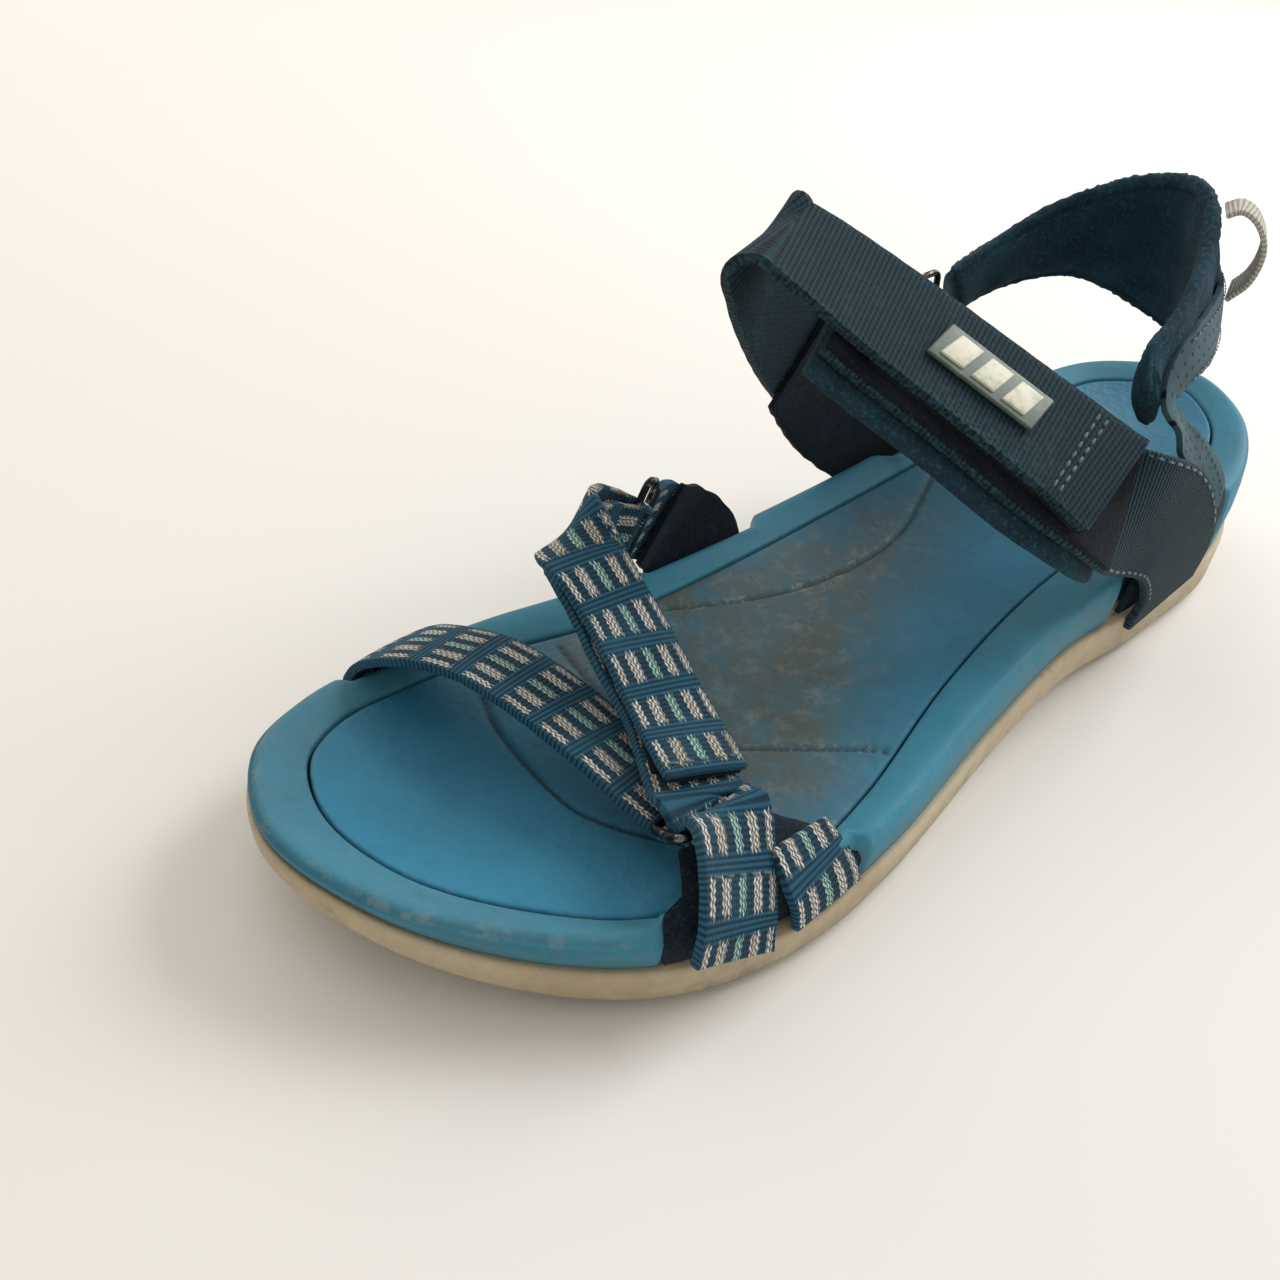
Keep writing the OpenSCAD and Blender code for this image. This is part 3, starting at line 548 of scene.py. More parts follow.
def web(name, rows, thickness, side=1, lift=0.0, width=None, part=None, start=0.0, strips=12, curl=0.0,
        waver=0.12):
    """A tape along the route. part picks a stretch of the rows, curl bends its edges down."""
    mid, across, up, wide, length = route(rows)
    if part:
        keep = slice(part[0] * STEPS, part[1] * STEPS + 1)
        mid, across, up, wide, length = mid[keep], across[keep], up[keep], wide[keep], length[keep]
    up = up * side
    if width:
        wide = np.full(len(mid), float(width))
    n = len(mid)
    bpy.ops.mesh.primitive_grid_add(x_subdivisions=n - 1, y_subdivisions=strips, size=1, calc_uvs=True)
    piece = bpy.context.object
    piece.name = name
    piece.data.name = name
    flat = np.empty(len(piece.data.vertices) * 3)
    piece.data.vertices.foreach_get("co", flat)
    flat = flat.reshape(-1, 3)
    i = np.clip(np.rint((flat[:, 0] + 0.5) * (n - 1)).astype(int), 0, n - 1)
    v = flat[:, 1]
    edge_wave = waver * np.sin(length[i] * 1.1 + 3 * v) * np.abs(2 * v)**6
    offset = v * (wide[i] + edge_wave)
    place = mid[i] + across[i] * offset[:, None] + up[i] * (lift - curl * np.abs(2 * v)**3)[:, None]
    piece.data.vertices.foreach_set("co", (place * MM).ravel())
    layer = piece.data.uv_layers.active
    layer.name = "web"
    uv = np.empty(len(layer.data) * 2)
    layer.data.foreach_get("uv", uv)
    uv = uv.reshape(-1, 2)
    k = np.clip(np.rint(uv[:, 0] * (n - 1)).astype(int), 0, n - 1)
    scaled = np.column_stack([(length[k] + start) * MM, (uv[:, 1] - 0.5) * wide[k] * MM])
    layer.data.foreach_set("uv", scaled.ravel())
    pick(piece)
    solid = piece.modifiers.new("thickness", "SOLIDIFY")
    solid.thickness = thickness * MM
    solid.offset = 0
    solid.use_even_offset = False
    bpy.ops.object.modifier_apply(modifier="thickness")
    round_edge = piece.modifiers.new("selvedge", "BEVEL")
    round_edge.width = thickness * 0.32 * MM
    round_edge.segments = 3
    round_edge.limit_method = "ANGLE"
    round_edge.angle_limit = math.radians(55)
    bpy.ops.object.modifier_apply(modifier="selvedge")
    outwards(piece)
    bpy.ops.object.shade_smooth()
    return piece


# %% [markdown]
# ## Patterned webbing finish
# The toe straps are jacquard webbing. White and mint warp threads come up in five groups across the tape,
# and dark ribs of the blue ground part one block from the next. Sine waves of the tape's own map draw the
# threads, so the pattern turns with the strap.

# %% Patterned webbing
def pattern_finish(name="patterned_webbing_finish", phase=0.0):
    f = Finish(name, roughness=0.82, Specular_IOR_Level=0.2, Sheen_Weight=0.04)
    u, v = f.along_across()
    u = f.plus(u, phase)
    jitter = f.times(f.math("SUBTRACT", f.noise(500, 2, 0.5), 0.5), 0.5)
    twist = f.times(f.sine(f.times(u, 4.9)), 0.13)
    v2 = f.plus(f.plus(v, twist), jitter)
    side_v = f.math("ABSOLUTE", v2)
    cell = f.math("MODULO", f.plus(u, 960.0), 9.2)
    ragged = f.times(f.sine(f.times(v, 7.5)), 0.45)
    cell = f.plus(cell, ragged)
    block = f.times(f.band(cell, 1.2, 1.6), f.band(cell, 6.9, 7.3, 1.0, 0.0))

    def group(centre, half):
        return f.band(f.math("ABSOLUTE", f.math("SUBTRACT", side_v, centre)), half - 0.12, half + 0.12,
                      1.0, 0.0)

    wide_group, outer_group, mint_group = group(3.55, 0.98), group(6.75, 0.62), group(0.0, 0.8)
    column = f.band(f.sine(f.times(v2, 9.6)), -0.75, 0.1, 0.22, 1.0)
    stitch = f.band(f.sine(f.plus(f.times(u, 5.2), f.times(v, 4.8))), -0.9, 0.0, 0.45, 1.0)
    thread = f.times(column, stitch)
    rib = f.sine(f.times(u, 6.6))
    fine = f.sine(f.times(v, 13.0))
    ground = f.mix(f.band(rib, -0.8, 0.6), (0.004, 0.032, 0.062), (0.02, 0.115, 0.185))
    ground = f.mix(f.band(fine, -1.0, 0.6, 0.35, 0.0), ground, (0.004, 0.016, 0.03))
    inside = f.times(block, f.band(side_v, 7.4, 7.7, 0.62, 0.0))
    ground = f.mix(inside, ground, (0.006, 0.022, 0.038))
    ground = f.mix(f.band(f.noise(60, 3, 0.6), 0.4, 0.7, 0.0, 0.3), ground, (0.04, 0.13, 0.19))
    white = f.times(f.math("MAXIMUM", wide_group, outer_group), block)
    mint = f.times(mint_group, block)
    cream = f.mix(f.band(f.noise(75, 3, 0.7), 0.45, 0.7), (0.8, 0.76, 0.68), (0.58, 0.5, 0.36))
    colour = f.mix(f.times(white, thread), ground, cream)
    colour = f.mix(f.times(mint, thread), colour, (0.42, 0.66, 0.55))
    dust = f.band(f.noise(22, 4, 0.6), 0.5, 0.75, 0.0, 0.14)
    colour = f.mix(dust, colour, (0.16, 0.15, 0.12))
    raised = f.times(f.plus(white, mint), thread)
    flat_rib = f.times(f.plus(rib, f.times(fine, 0.5)), 0.25)
    height = f.plus(f.times(raised, 1.0), flat_rib)
    normal = f.bump(height, 0.00035, 0.8)
    normal = f.bump(f.noise(1800, 3, 0.7), 0.0001, 0.5, normal)
    return f.done(colour, normal)


pattern = pattern_finish()
pattern_shifted = pattern_finish("patterned_webbing_finish_2", 4.1)

# %% [markdown]
# ## Ankle webbing finish
# The wider ankle tape is plain: heavy weft ribs run across it, with fine warp lines between them. It is a
# dark slate teal that greys where hands have rubbed it.

# %% Plain webbing
def rib_finish(name, low, high, pitch, worn, depth=0.00028):
    f = Finish(name, roughness=0.8, Specular_IOR_Level=0.2, Sheen_Weight=0.04)
    u, v = f.along_across()
    bend = f.times(f.noise(90, 2, 0.5), 1.3)
    rib = f.sine(f.plus(f.times(u, 2 * math.pi / pitch), bend))
    fine = f.sine(f.times(v, 2 * math.pi / 0.62))
    cross = f.sine(f.plus(f.times(v, math.pi / 0.62), f.times(u, math.pi / pitch)))
    colour = f.mix(f.band(rib, -0.9, 0.7), low, high)
    colour = f.mix(f.band(fine, -1.0, 0.2, 0.45, 0.0), colour, tuple(c * 0.45 for c in low))
    edge_rub = f.band(f.math("ABSOLUTE", v), 10.5, 12.5, 0.0, 0.35)
    rub = f.plus(edge_rub, f.band(f.noise(40, 4, 0.65), 0.45, 0.75, 0.0, 0.4))
    colour = f.mix(f.times(rub, f.band(f.noise(1100, 2, 0.6), 0.4, 0.62)), colour, worn)
    height = f.plus(f.times(rib, 0.6), f.times(f.times(fine, cross), 0.4))
    normal = f.bump(height, depth, 0.75)
    normal = f.bump(f.noise(1900, 3, 0.7), 0.00009, 0.5, normal)
    return f.done(colour, normal)


ankle_finish = rib_finish("ankle_webbing_finish", (0.002, 0.012, 0.02), (0.011, 0.048, 0.068), 1.0,
                          (0.05, 0.12, 0.15))
loop_finish = rib_finish("loop_webbing_finish", (0.42, 0.39, 0.32), (0.72, 0.7, 0.64), 0.9,
                         (0.8, 0.78, 0.72), 0.0002)

# %% Linings, nubuck and metal
def cloth_finish(name, base, light, fuzz=0.00012, sheen=0.05):
    f = Finish(name, roughness=0.9, Specular_IOR_Level=0.15, Sheen_Weight=sheen)
    colour = f.mix(f.band(f.noise(70, 4, 0.65), 0.35, 0.7), base, light)
    colour = f.mix(f.band(f.noise(1300, 3, 0.7), 0.5, 0.68, 0.0, 0.55), colour,
                   tuple(min(1, c * 2.4) for c in light))
    normal = f.bump(f.noise(1500, 4, 0.75), fuzz, 0.9)
    return f.done(colour, normal)


lining = cloth_finish("dark_lining_finish", (0.006, 0.011, 0.018), (0.012, 0.022, 0.034))
fuzzy = cloth_finish("fuzzy_collar_finish", (0.008, 0.03, 0.048), (0.017, 0.055, 0.082), 0.0003)
suede = cloth_finish("edge_suede_finish", (0.009, 0.024, 0.034), (0.018, 0.042, 0.056), 0.0002)
fastener = cloth_finish("hook_and_loop_finish", (0.004, 0.006, 0.009), (0.01, 0.014, 0.02), 0.00035)

f = Finish("nubuck_finish", roughness=0.78, Specular_IOR_Level=0.2, Sheen_Weight=0.05)
u, v = f.along_across()
pu = f.math("SUBTRACT", f.math("MODULO", f.plus(u, 300.0), 3.0), 1.5)
pv = f.math("SUBTRACT", f.math("MODULO", f.plus(v, 300.0), 3.0), 1.5)
hole = f.math("SQRT", f.plus(f.times(pu, pu), f.times(pv, pv)))
# The perforations are painted: near-black spots stand for the shade inside the holes, with a small dip in
# the bump.
painted_hole_shade = f.band(hole, 0.3, 0.5, 1.0, 0.0)
painted_hole_shade = f.times(painted_hole_shade, f.band(f.math("ABSOLUTE", v), 4.4, 4.6, 1.0, 0.0))
colour = f.mix(f.band(f.noise(60, 5, 0.7), 0.35, 0.7), (0.026, 0.07, 0.093), (0.055, 0.12, 0.148))
colour = f.mix(f.band(f.noise(420, 4, 0.7), 0.5, 0.7, 0.0, 0.35), colour, (0.03, 0.055, 0.07))
colour = f.mix(painted_hole_shade, colour, (0.005, 0.008, 0.012))
normal = f.bump(f.times(painted_hole_shade, -1.0), 0.0004, 0.9)
normal = f.bump(f.noise(1200, 4, 0.7), 0.00008, 0.5, normal)
nubuck = f.done(colour, normal)

f = Finish("dark_ring_finish", roughness=0.3, Metallic=1.0)
chip = f.band(f.noise(330, 4, 0.7), 0.5, 0.62)
colour = f.mix(chip, (0.02, 0.021, 0.023), (0.19, 0.18, 0.17))
ring_finish = f.done(colour, f.bump(f.noise(600, 3, 0.6), 0.00005, 0.4),
                     f.band(chip, 0.0, 1.0, 0.38, 0.24))
f = Finish("thread_finish", roughness=0.75, Sheen_Weight=0.3)
thread_dark = f.done(f.mix(f.band(f.noise(900, 2, 0.5), 0.3, 0.7), (0.03, 0.068, 0.09),
                           (0.1, 0.16, 0.19)), f.bump(f.noise(2500, 2, 0.6), 0.0001, 0.6))

# %% [markdown]
# ## Toe straps
# One web rises from the inner edge of the sole, crosses the toes and passes through the outer ring. It
# comes back, turns through the inner ring, and ends in a loose tab that closes on it with hook and loop.

# %% Toe strap routes
WEB_T = 1.7
TOE_W = 16
def row(p, across, w):
    return (*p, *across, w)


TOE_RUN = [row((-45, -90, 10.6), (0, 1, 0), TOE_W), row((-46.3, -90, 14), (-0.05, 1, 0), TOE_W),
           row((-43.5, -89.5, 19), (-0.2, 0.97, -0.1), TOE_W),
           row((-36, -88, 24), (-0.35, 0.93, -0.15), TOE_W),
           row((-28, -85.5, 26.5), (-0.4, 0.9, -0.15), TOE_W),
           row((-20, -83, 27.3), (-0.36, 0.92, -0.1), TOE_W),
           row((-8, -80.5, 26.1), (-0.27, 0.96, -0.1), TOE_W),
           row((6, -79, 23.9), (-0.25, 0.96, -0.15), TOE_W),
           row((16, -77.5, 21.2), (-0.15, 0.98, -0.15), TOE_W),
           row((22, -76.5, 20.2), (-0.05, 0.99, -0.1), TOE_W)]
TOE_RETURN = [row((25.3, -76.4, 20.4), (0, 1, -0.1), TOE_W), row((27, -76.2, 22.3), (0, 1, -0.1), TOE_W),
              row((25.3, -76, 24.6), (0, 0.99, -0.1), TOE_W),
              row((20.5, -74, 24.2), (0.1, 0.97, -0.15), TOE_W),
              row((9.7, -68.8, 26.4), (0, 0.99, -0.1), TOE_W),
              row((-2.5, -66.4, 31.4), (-0.1, 0.99, -0.05), TOE_W),
              row((-8.8, -65.3, 34.8), (-0.2, 0.97, 0), TOE_W),
              row((-14.4, -64.4, 38.6), (-0.2, 0.96, 0.12), 15.6),
              row((-18.6, -63.4, 40.6), (-0.24, 0.94, 0.2), 15.2),
              row((-22, -61.2, 41), (-0.26, 0.88, 0.36), 14.8),
              row((-24.8, -57.2, 40.4), (-0.2, 0.78, 0.56), 14.2),
              row((-26.6, -52.2, 38.6), (-0.1, 0.64, 0.76), 13.6),
              row((-27.4, -47.6, 36.6), (0, 0.52, 0.85), 13),
              row((-27.8, -44.4, 35), (0, 0.47, 0.88), 13),
              row((-29.2, -42.8, 34.6), (0, 0.47, 0.88), 13),
              row((-30.4, -44, 35.8), (0, 0.47, 0.88), 13)]
TOE_OVER = [row((-30.4, -44, 35.8), (0, 0.47, 0.88), 13),
            row((-30.6, -48.4, 38.8), (-0.02, 0.54, 0.84), 13.2),
            row((-29.6, -53.6, 41.6), (-0.12, 0.67, 0.73), 14),
            row((-27.2, -58.8, 43.6), (-0.22, 0.8, 0.55), 14.8),
            row((-23.6, -62.6, 44.2), (-0.27, 0.89, 0.36), 15.4),
            row((-19.2, -64.2, 43.8), (-0.25, 0.94, 0.2), 15.8),
            row((-14.8, -64.6, 42.2), (-0.22, 0.96, 0.1), TOE_W)]
TOE_TAB = [row((-16.3, -64.7, 43.8), (-0.33, 0.94, 0.05), TOE_W),
           row((-12.6, -64.5, 40.9), (-0.28, 0.96, 0), TOE_W),
           row((-6.6, -65, 37.3), (-0.17, 0.98, 0), TOE_W),
           row((-0.8, -66.1, 34.6), (-0.1, 0.99, -0.05), TOE_W),
           row((10.7, -68.8, 29.4), (0, 0.99, -0.1), TOE_W),
           row((23.6, -72.9, 27), (0.08, 0.98, -0.15), TOE_W)]
toe_strap = web("toe_strap_web", TOE_RUN + TOE_RETURN, WEB_T, curl=0.3)
use(toe_strap, pattern, "sole", "patterned_webbing", "toe_strap")
toe_tab = web("toe_strap_free_tab", TOE_OVER + TOE_TAB[2:], WEB_T, curl=0.3)
use(toe_tab, pattern_shifted, None, "patterned_webbing", "toe_strap_tab")
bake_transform(toe_tab)
toe_loops = web("toe_loop_fastener", [TOE_RUN[-1]] + TOE_RETURN, 0.6, lift=-1.2, width=14, part=(4, 6))
use(toe_loops, fastener, "sole", "fastener_cloth", "toe_loop_patch")
toe_hooks = web("toe_hook_fastener", TOE_TAB, 0.6, lift=-1.2, width=14, part=(3, 5))
use(toe_hooks, fastener, "toe_tab", "fastener_cloth", "toe_hook_patch")

# %% Outer anchors
FRONT_ANCHOR = [row((44.4, -86, 10.8), (0.1, 0.98, 0), TOE_W),
                row((42.6, -83.8, 16.7), (0.1, 0.93, -0.3), TOE_W),
                row((38.8, -80.8, 22), (0.1, 0.92, -0.33), TOE_W),
                row((36, -79.1, 25), (0.07, 0.95, -0.28), TOE_W),
                row((33.8, -77.9, 26.6), (0.03, 0.98, -0.2), TOE_W),
                row((31.6, -77.2, 27), (0, 0.98, -0.15), TOE_W),
                row((29.7, -76.9, 25.2), (0, 0.98, -0.15), TOE_W),
                row((31.4, -76.9, 23.2), (0, 0.98, -0.15), TOE_W),
                row((33.6, -77.9, 23), (0.05, 0.96, -0.2), TOE_W)]
REAR_ANCHOR = [row((46.2, -65.5, 10), (0, 1, 0), TOE_W), row((45.2, -65.8, 13.6), (0, 1, -0.05), TOE_W),
               row((42.2, -66.4, 17.8), (-0.05, 0.98, -0.1), TOE_W),
               row((38.4, -66.2, 20.8), (-0.1, 0.98, -0.12), 14)]
TOE_LINING = [row((43, -75.6, 10.4), (0.16, 0.98, 0), 39.6),
              row((43, -75.6, 13.6), (0.16, 0.98, 0), 39.6),
              row((41.4, -75, 17.2), (0.14, 0.98, 0), 38.5),
              row((38, -74.2, 19.2), (0.05, 0.98, -0.06), 32),
              row((33.4, -73.8, 20.2), (0, 0.98, -0.1), 25),
              row((30.4, -73.4, 20.6), (0, 0.98, -0.1), 20)]
front_anchor = web("front_anchor_webbing", FRONT_ANCHOR, WEB_T, side=-1, curl=-0.2)
use(front_anchor, pattern, "sole", "patterned_webbing", "front_anchor_web")
rear_anchor = web("rear_anchor_webbing", REAR_ANCHOR, WEB_T, side=-1, start=3)
use(rear_anchor, pattern_shifted, "sole", "patterned_webbing", "rear_anchor_web")
toe_lining = web("lateral_toe_lining_cloth", TOE_LINING, 1.2, side=-1, waver=0.3, curl=2.0)
use(toe_lining, lining, "sole", "lining_cloth", "lateral_toe_lining")

# %% Inner arch anchor
ARCH_ANCHOR = [row((-34.4, -19, 11), (0.08, 1, 0), 18), row((-36.4, -19.5, 17), (0, 1, 0.1), 18),
               row((-37.2, -24.5, 25.4), (0, 0.82, 0.57), 18),
               row((-35.4, -31.5, 30.6), (0, 0.62, 0.78), 18),
               row((-31.6, -37.6, 33.6), (0, 0.5, 0.87), TOE_W)]
ARCH_LINING = [row((-32.8, -18, 12), (0.08, 1, 0), 30), row((-34.4, -18.5, 18), (0, 1, 0.1), 27),
               row((-35.2, -23.6, 25), (0, 0.82, 0.57), 22), row((-33.6, -30, 29.6), (0, 0.62, 0.78), 19)]
arch_anchor = web("medial_arch_webbing", ARCH_ANCHOR, WEB_T)
use(arch_anchor, pattern, "sole", "patterned_webbing", "medial_arch_web")
arch_lining = web("medial_arch_lining_cloth", ARCH_LINING, 1.2, waver=0.4)
use(arch_lining, lining, "sole", "lining_cloth", "medial_arch_lining")

# %% [markdown]
# ## Ankle straps
# A band rises from the outer edge of the sole and crosses the instep on a padded lining. The strap
# from the inner side folds over at the top and comes down on the band as a wide tab, which closes
# with hook and loop.

# %% Ankle routes
ANKLE_W = 25
BAND = [row((36.6, 60, 12.2), (0, 1, 0), ANKLE_W), row((38.6, 56.5, 25), (0, 0.98, 0.15), ANKLE_W),
        row((38.8, 43, 39.5), (0, 0.93, 0.3), ANKLE_W), row((35.6, 23, 48.6), (0.1, 0.96, 0.22), ANKLE_W),
        row((24.2, 11.2, 56.4), (0, 0.98, 0.19), ANKLE_W),
        row((9.2, 2.7, 65.5), (-0.1, 0.98, 0.17), ANKLE_W),
        row((-5.2, -6.2, 74.4), (-0.2, 0.96, 0.17), ANKLE_W),
        row((-12, -11, 79.4), (-0.26, 0.95, 0.15), ANKLE_W)]
ANKLE_TAB = [row((36.5, 16.6, 56), (0.15, 0.96, 0.21), ANKLE_W),
             row((25.5, 12.5, 61.7), (0, 0.98, 0.19), ANKLE_W),
             row((10, 4.5, 70.6), (-0.1, 0.98, 0.17), ANKLE_W),
             row((-4.5, -4.5, 79.6), (-0.2, 0.96, 0.17), ANKLE_W),
             row((-14.6, -11.2, 86), (-0.3, 0.94, 0.14), ANKLE_W)]
ANKLE_RUN = [row((-15.2, -11.6, 86.4), (-0.3, 0.94, 0.14), ANKLE_W),
             row((-19.4, -14.6, 89.4), (-0.34, 0.93, 0.12), ANKLE_W),
             row((-23.6, -16.8, 90.8), (-0.37, 0.92, 0.08), ANKLE_W),
             row((-27.4, -16.4, 88), (-0.35, 0.93, 0.1), ANKLE_W),
             row((-30.2, -11, 80), (-0.25, 0.9, 0.3), ANKLE_W),
             row((-33, 3, 65), (-0.1, 0.85, 0.5), ANKLE_W),
             row((-35, 17, 52), (-0.05, 0.82, 0.55), ANKLE_W)]
GUSSET_IN = [row((-33.2, 6, 60), (-0.05, 0.82, 0.55), 28), row((-34.6, 22, 45.5), (0, 0.85, 0.5), 31),
             row((-35.4, 44, 31), (0, 0.93, 0.35), 34), row((-34.4, 58, 23), (0, 0.99, 0.06), 36),
             row((-33, 61, 14.8), (0, 1, 0), 36)]
ANKLE_LINING = [row((33.4, 66, 13), (0, 1, 0), 38), row((34.6, 65, 25), (0, 0.98, 0.1), 34),
                row((34.4, 60, 33), (0, 0.96, 0.2), 26)]
band = web("instep_band_webbing", BAND, 2.0, side=-1, strips=16)
use(band, ankle_finish, "sole", "ankle_webbing", "instep_band")
ankle_strap = web("ankle_strap_webbing", ANKLE_TAB[:4] + ANKLE_RUN[1:], 2.0, side=-1, strips=16)
use(ankle_strap, ankle_finish, None, "ankle_webbing", "ankle_strap_tab", "ankle_strap")
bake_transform(ankle_strap)
ankle_loops = web("ankle_loop_fastener", BAND, 1.1, side=-1, lift=1.6, width=24, part=(3, 7))
use(ankle_loops, fastener, "sole", "fastener_cloth", "ankle_loop_patch")
ankle_hooks = web("ankle_hook_fastener", ANKLE_TAB, 1.4, side=-1, lift=-1.75, width=24.4, part=(0, 3))
use(ankle_hooks, fastener, "ankle_tab", "fastener_cloth", "ankle_hook_patch")
gusset_in = web("medial_ankle_gusset_cloth", GUSSET_IN, 1.2, side=-1, lift=-1.8, waver=0.4)
use(gusset_in, lining, "sole", "lining_cloth", "medial_ankle_gusset")
ankle_lining = web("lateral_ankle_lining_cloth", ANKLE_LINING, 1.2, side=-1, waver=0.4)
use(ankle_lining, suede, "sole", "lining_cloth", "lateral_ankle_lining")
RING_WEB = [row((-38.6, 22, 50.6), (0, -0.4, 0.92), 14), row((-36.6, 31, 55.6), (0, -0.42, 0.9), 13),
            row((-33.6, 39, 59.6), (0, -0.3, 0.95), 11.6),
            row((-32.4, 43.4, 60.8), (0, -0.2, 0.98), 11.4)]
ring_web = web("ankle_ring_webbing", RING_WEB, WEB_T, side=-1)
use(ring_web, ankle_finish, "sole", "ankle_webbing", "ankle_ring_web")
for name in ("lateral_toe_ring", "medial_toe_ring", "ankle_ring"):
    metal = bpy.data.objects[name]
    metal.data.materials.clear()
    metal.data.materials.append(ring_finish)

# %% Instep pad
pad = web("instep_padding", BAND, 3.2, side=-1, lift=-2.9, width=30, part=(3, 7), strips=18, curl=0.6)
use(pad, fuzzy, "sole", "lining_cloth", "instep_band_pad")

# %% [markdown]
# ## Badge
# A small moulded badge sits on the tab. It is kept plain: a dark green plate with three cream bars.

# %% Badge
def badge_plate():
    mid = np.array([(10 + 1.2), (4.5 + 0.7), (70.6 - 0.7)])
    along = unit(np.array([25.5, 12.5, 61.7]) - np.array([-4.5, -4.5, 79.6]))
    across = np.array([-0.1, 0.98, 0.17])
    across = unit(across - along * (across @ along))
    up = np.cross(along, across)
    return mid + up * 1.85, along, across, up


f = Finish("badge_finish", roughness=0.4, Specular_IOR_Level=0.4)
badge_cream = f.done(f.mix(f.band(f.noise(300, 4, 0.7), 0.45, 0.7), (0.66, 0.64, 0.5),
                           (0.42, 0.42, 0.31)), f.bump(f.noise(700, 3, 0.6), 0.00006, 0.5))
f = Finish("badge_green_finish", roughness=0.45)
badge_green = f.done(f.mix(f.band(f.noise(300, 4, 0.7), 0.45, 0.7), (0.05, 0.085, 0.06),
                           (0.1, 0.15, 0.1)), f.bump(f.noise(700, 3, 0.6), 0.00006, 0.5))
centre, along, across, up = badge_plate()
frame_matrix = Matrix(np.column_stack([along, across, up]).tolist()).to_4x4()


def badge_block(name, x, y, z, length, width, height, round_by, slant=0.0):
    bpy.ops.mesh.primitive_cube_add(size=1)
    block = bpy.context.object
    block.name = name
    block.data.transform(Matrix.Diagonal((length * MM, width * MM, height * MM, 1)))
    block.data.transform(Matrix(((1, slant, 0, 0), (0, 1, 0, 0), (0, 0, 1, 0), (0, 0, 0, 1))))
    block.data.transform(Matrix.Translation((x * MM, y * MM, z * MM)))
    soft = block.modifiers.new("round", "BEVEL")
    soft.width = round_by * MM
    soft.segments = 4
    pick(block)
    bpy.ops.object.modifier_apply(modifier="round")
    block.data.transform(frame_matrix)
    block.data.transform(Matrix.Translation(Vector(centre * MM)))
    bpy.ops.object.shade_smooth_by_angle(angle=0.7)
    return block


plate = badge_block("badge_plate", 0, 0, 0, 24, 10, 0.9, 0.42, 0.18)
use(plate, badge_green, "ankle_tab", "badge_rubber", "badge")
for k, x in enumerate((-7, 0, 7)):
    bar = badge_block("badge_bar_%d" % (k + 1), x, 0, 0.55, 5.2, 7, 0.7, 0.3, 0.3)
    use(bar, badge_cream, "ankle_tab", "badge_rubber")

# %% [markdown]
# ## Heel collar
# The collar is a soft padded tube of cloth round the heel, fuzzy at its upper edge. Its section swells in
# the middle and thins at both edges. Nubuck overlays carry it down to the sole.

# %% Collar
COLLAR = [((-30, 53, 67.5), (-31, 58, 56.5)), ((-28, 66, 73), (-29.5, 67, 60.5)),
          ((-24, 78, 79), (-26, 80, 63)),
          ((-18, 87, 83.5), (-21, 92, 63)), ((-11, 92, 87), (-14, 102, 59)),
          ((-3, 93, 89), (-4, 108, 54)),
          ((4, 89, 89.6), (4, 104, 53)), ((10, 83.4, 87), (11, 94, 56)), ((15, 75, 83), (17, 80, 62)),
          ((19, 65, 79), (21.5, 68, 63.5)), ((22, 54, 75), (24.4, 57, 64)),
          ((23.5, 42.6, 70.8), (26, 45.4, 59.8)),
          ((26.4, 40.6, 64.6), (27.4, 42.6, 57.6))]
c = smooth_open([a + b for a, b in COLLAR], 9)
top, low = c[:, :3], c[:, 3:]
along = unit(np.gradient(top + low, axis=0))
out = unit(np.cross(unit(top - low), along))
middle = (top + low) / 2
half = np.linalg.norm(top - low, axis=1)[:, None] / 2
sections = []
SIDES = 28
for k in range(SIDES):
    a = 2 * math.pi * k / SIDES
    thick = 2.5 * np.sign(math.sin(a)) * abs(math.sin(a))**0.75
    crumple = 0.35 * np.sin(np.arange(len(c)) * 0.55 + 2 * math.sin(a)) * abs(math.sin(a))
    sections.append(middle + unit(top - low) * half * math.cos(a) + out * (thick + crumple[:, None]))
points = np.stack(sections, 1)
points = points.reshape(-1, 3)
faces = []
for i in range(len(c) - 1):
    for k in range(SIDES):
        j = (k + 1) % SIDES
        faces.append([i * SIDES + k, i * SIDES + j, (i + 1) * SIDES + j, (i + 1) * SIDES + k])
faces.append(list(range(SIDES))[::-1])
faces.append([(len(c) - 1) * SIDES + k for k in range(SIDES)])
collar = mesh_object("heel_collar_padding", points, faces)
outwards(collar)
use(collar, fuzzy, "collar", "collar_cloth", "heel_collar")

# %% Collar binding
def felt_roll(name, path, radius, rough, seed):
    """A soft bumpy roll along a path, such as the brushed edge of a lining."""
    noise = np.random.default_rng(seed)
    line = smooth_open(path, 14)
    forward = unit(np.gradient(line, axis=0))
    side = unit(np.cross(forward, np.array([0.2, 0.3, 1.0])))
    over = np.cross(side, forward)
    turns = 12
    taper = np.sin(np.linspace(0.12, math.pi - 0.12, len(line)))**0.35
    rings = []
    for k in range(turns):
        a = 2 * math.pi * k / turns
        r = (radius + noise.normal(0, rough, len(line))) * taper
        rings.append(line + side * (r * math.cos(a))[:, None] + over * (r * math.sin(a))[:, None])
    cloud = np.stack(rings, 1).reshape(-1, 3)
    quads = ring_faces(turns, len(line))
    quads += [list(range(turns))[::-1], [(len(line) - 1) * turns + k for k in range(turns)]]
    roll = mesh_object(name, cloud, quads)
    outwards(roll)
    return roll


binding = felt_roll("collar_top_binding", [a for a, b in COLLAR], 1.75, 0.16, 3)
use(binding, fuzzy, "collar", "collar_cloth")
lower_binding = felt_roll("collar_lower_binding", [b for a, b in COLLAR], 1.3, 0.13, 4)
use(lower_binding, fuzzy, "collar", "collar_cloth")

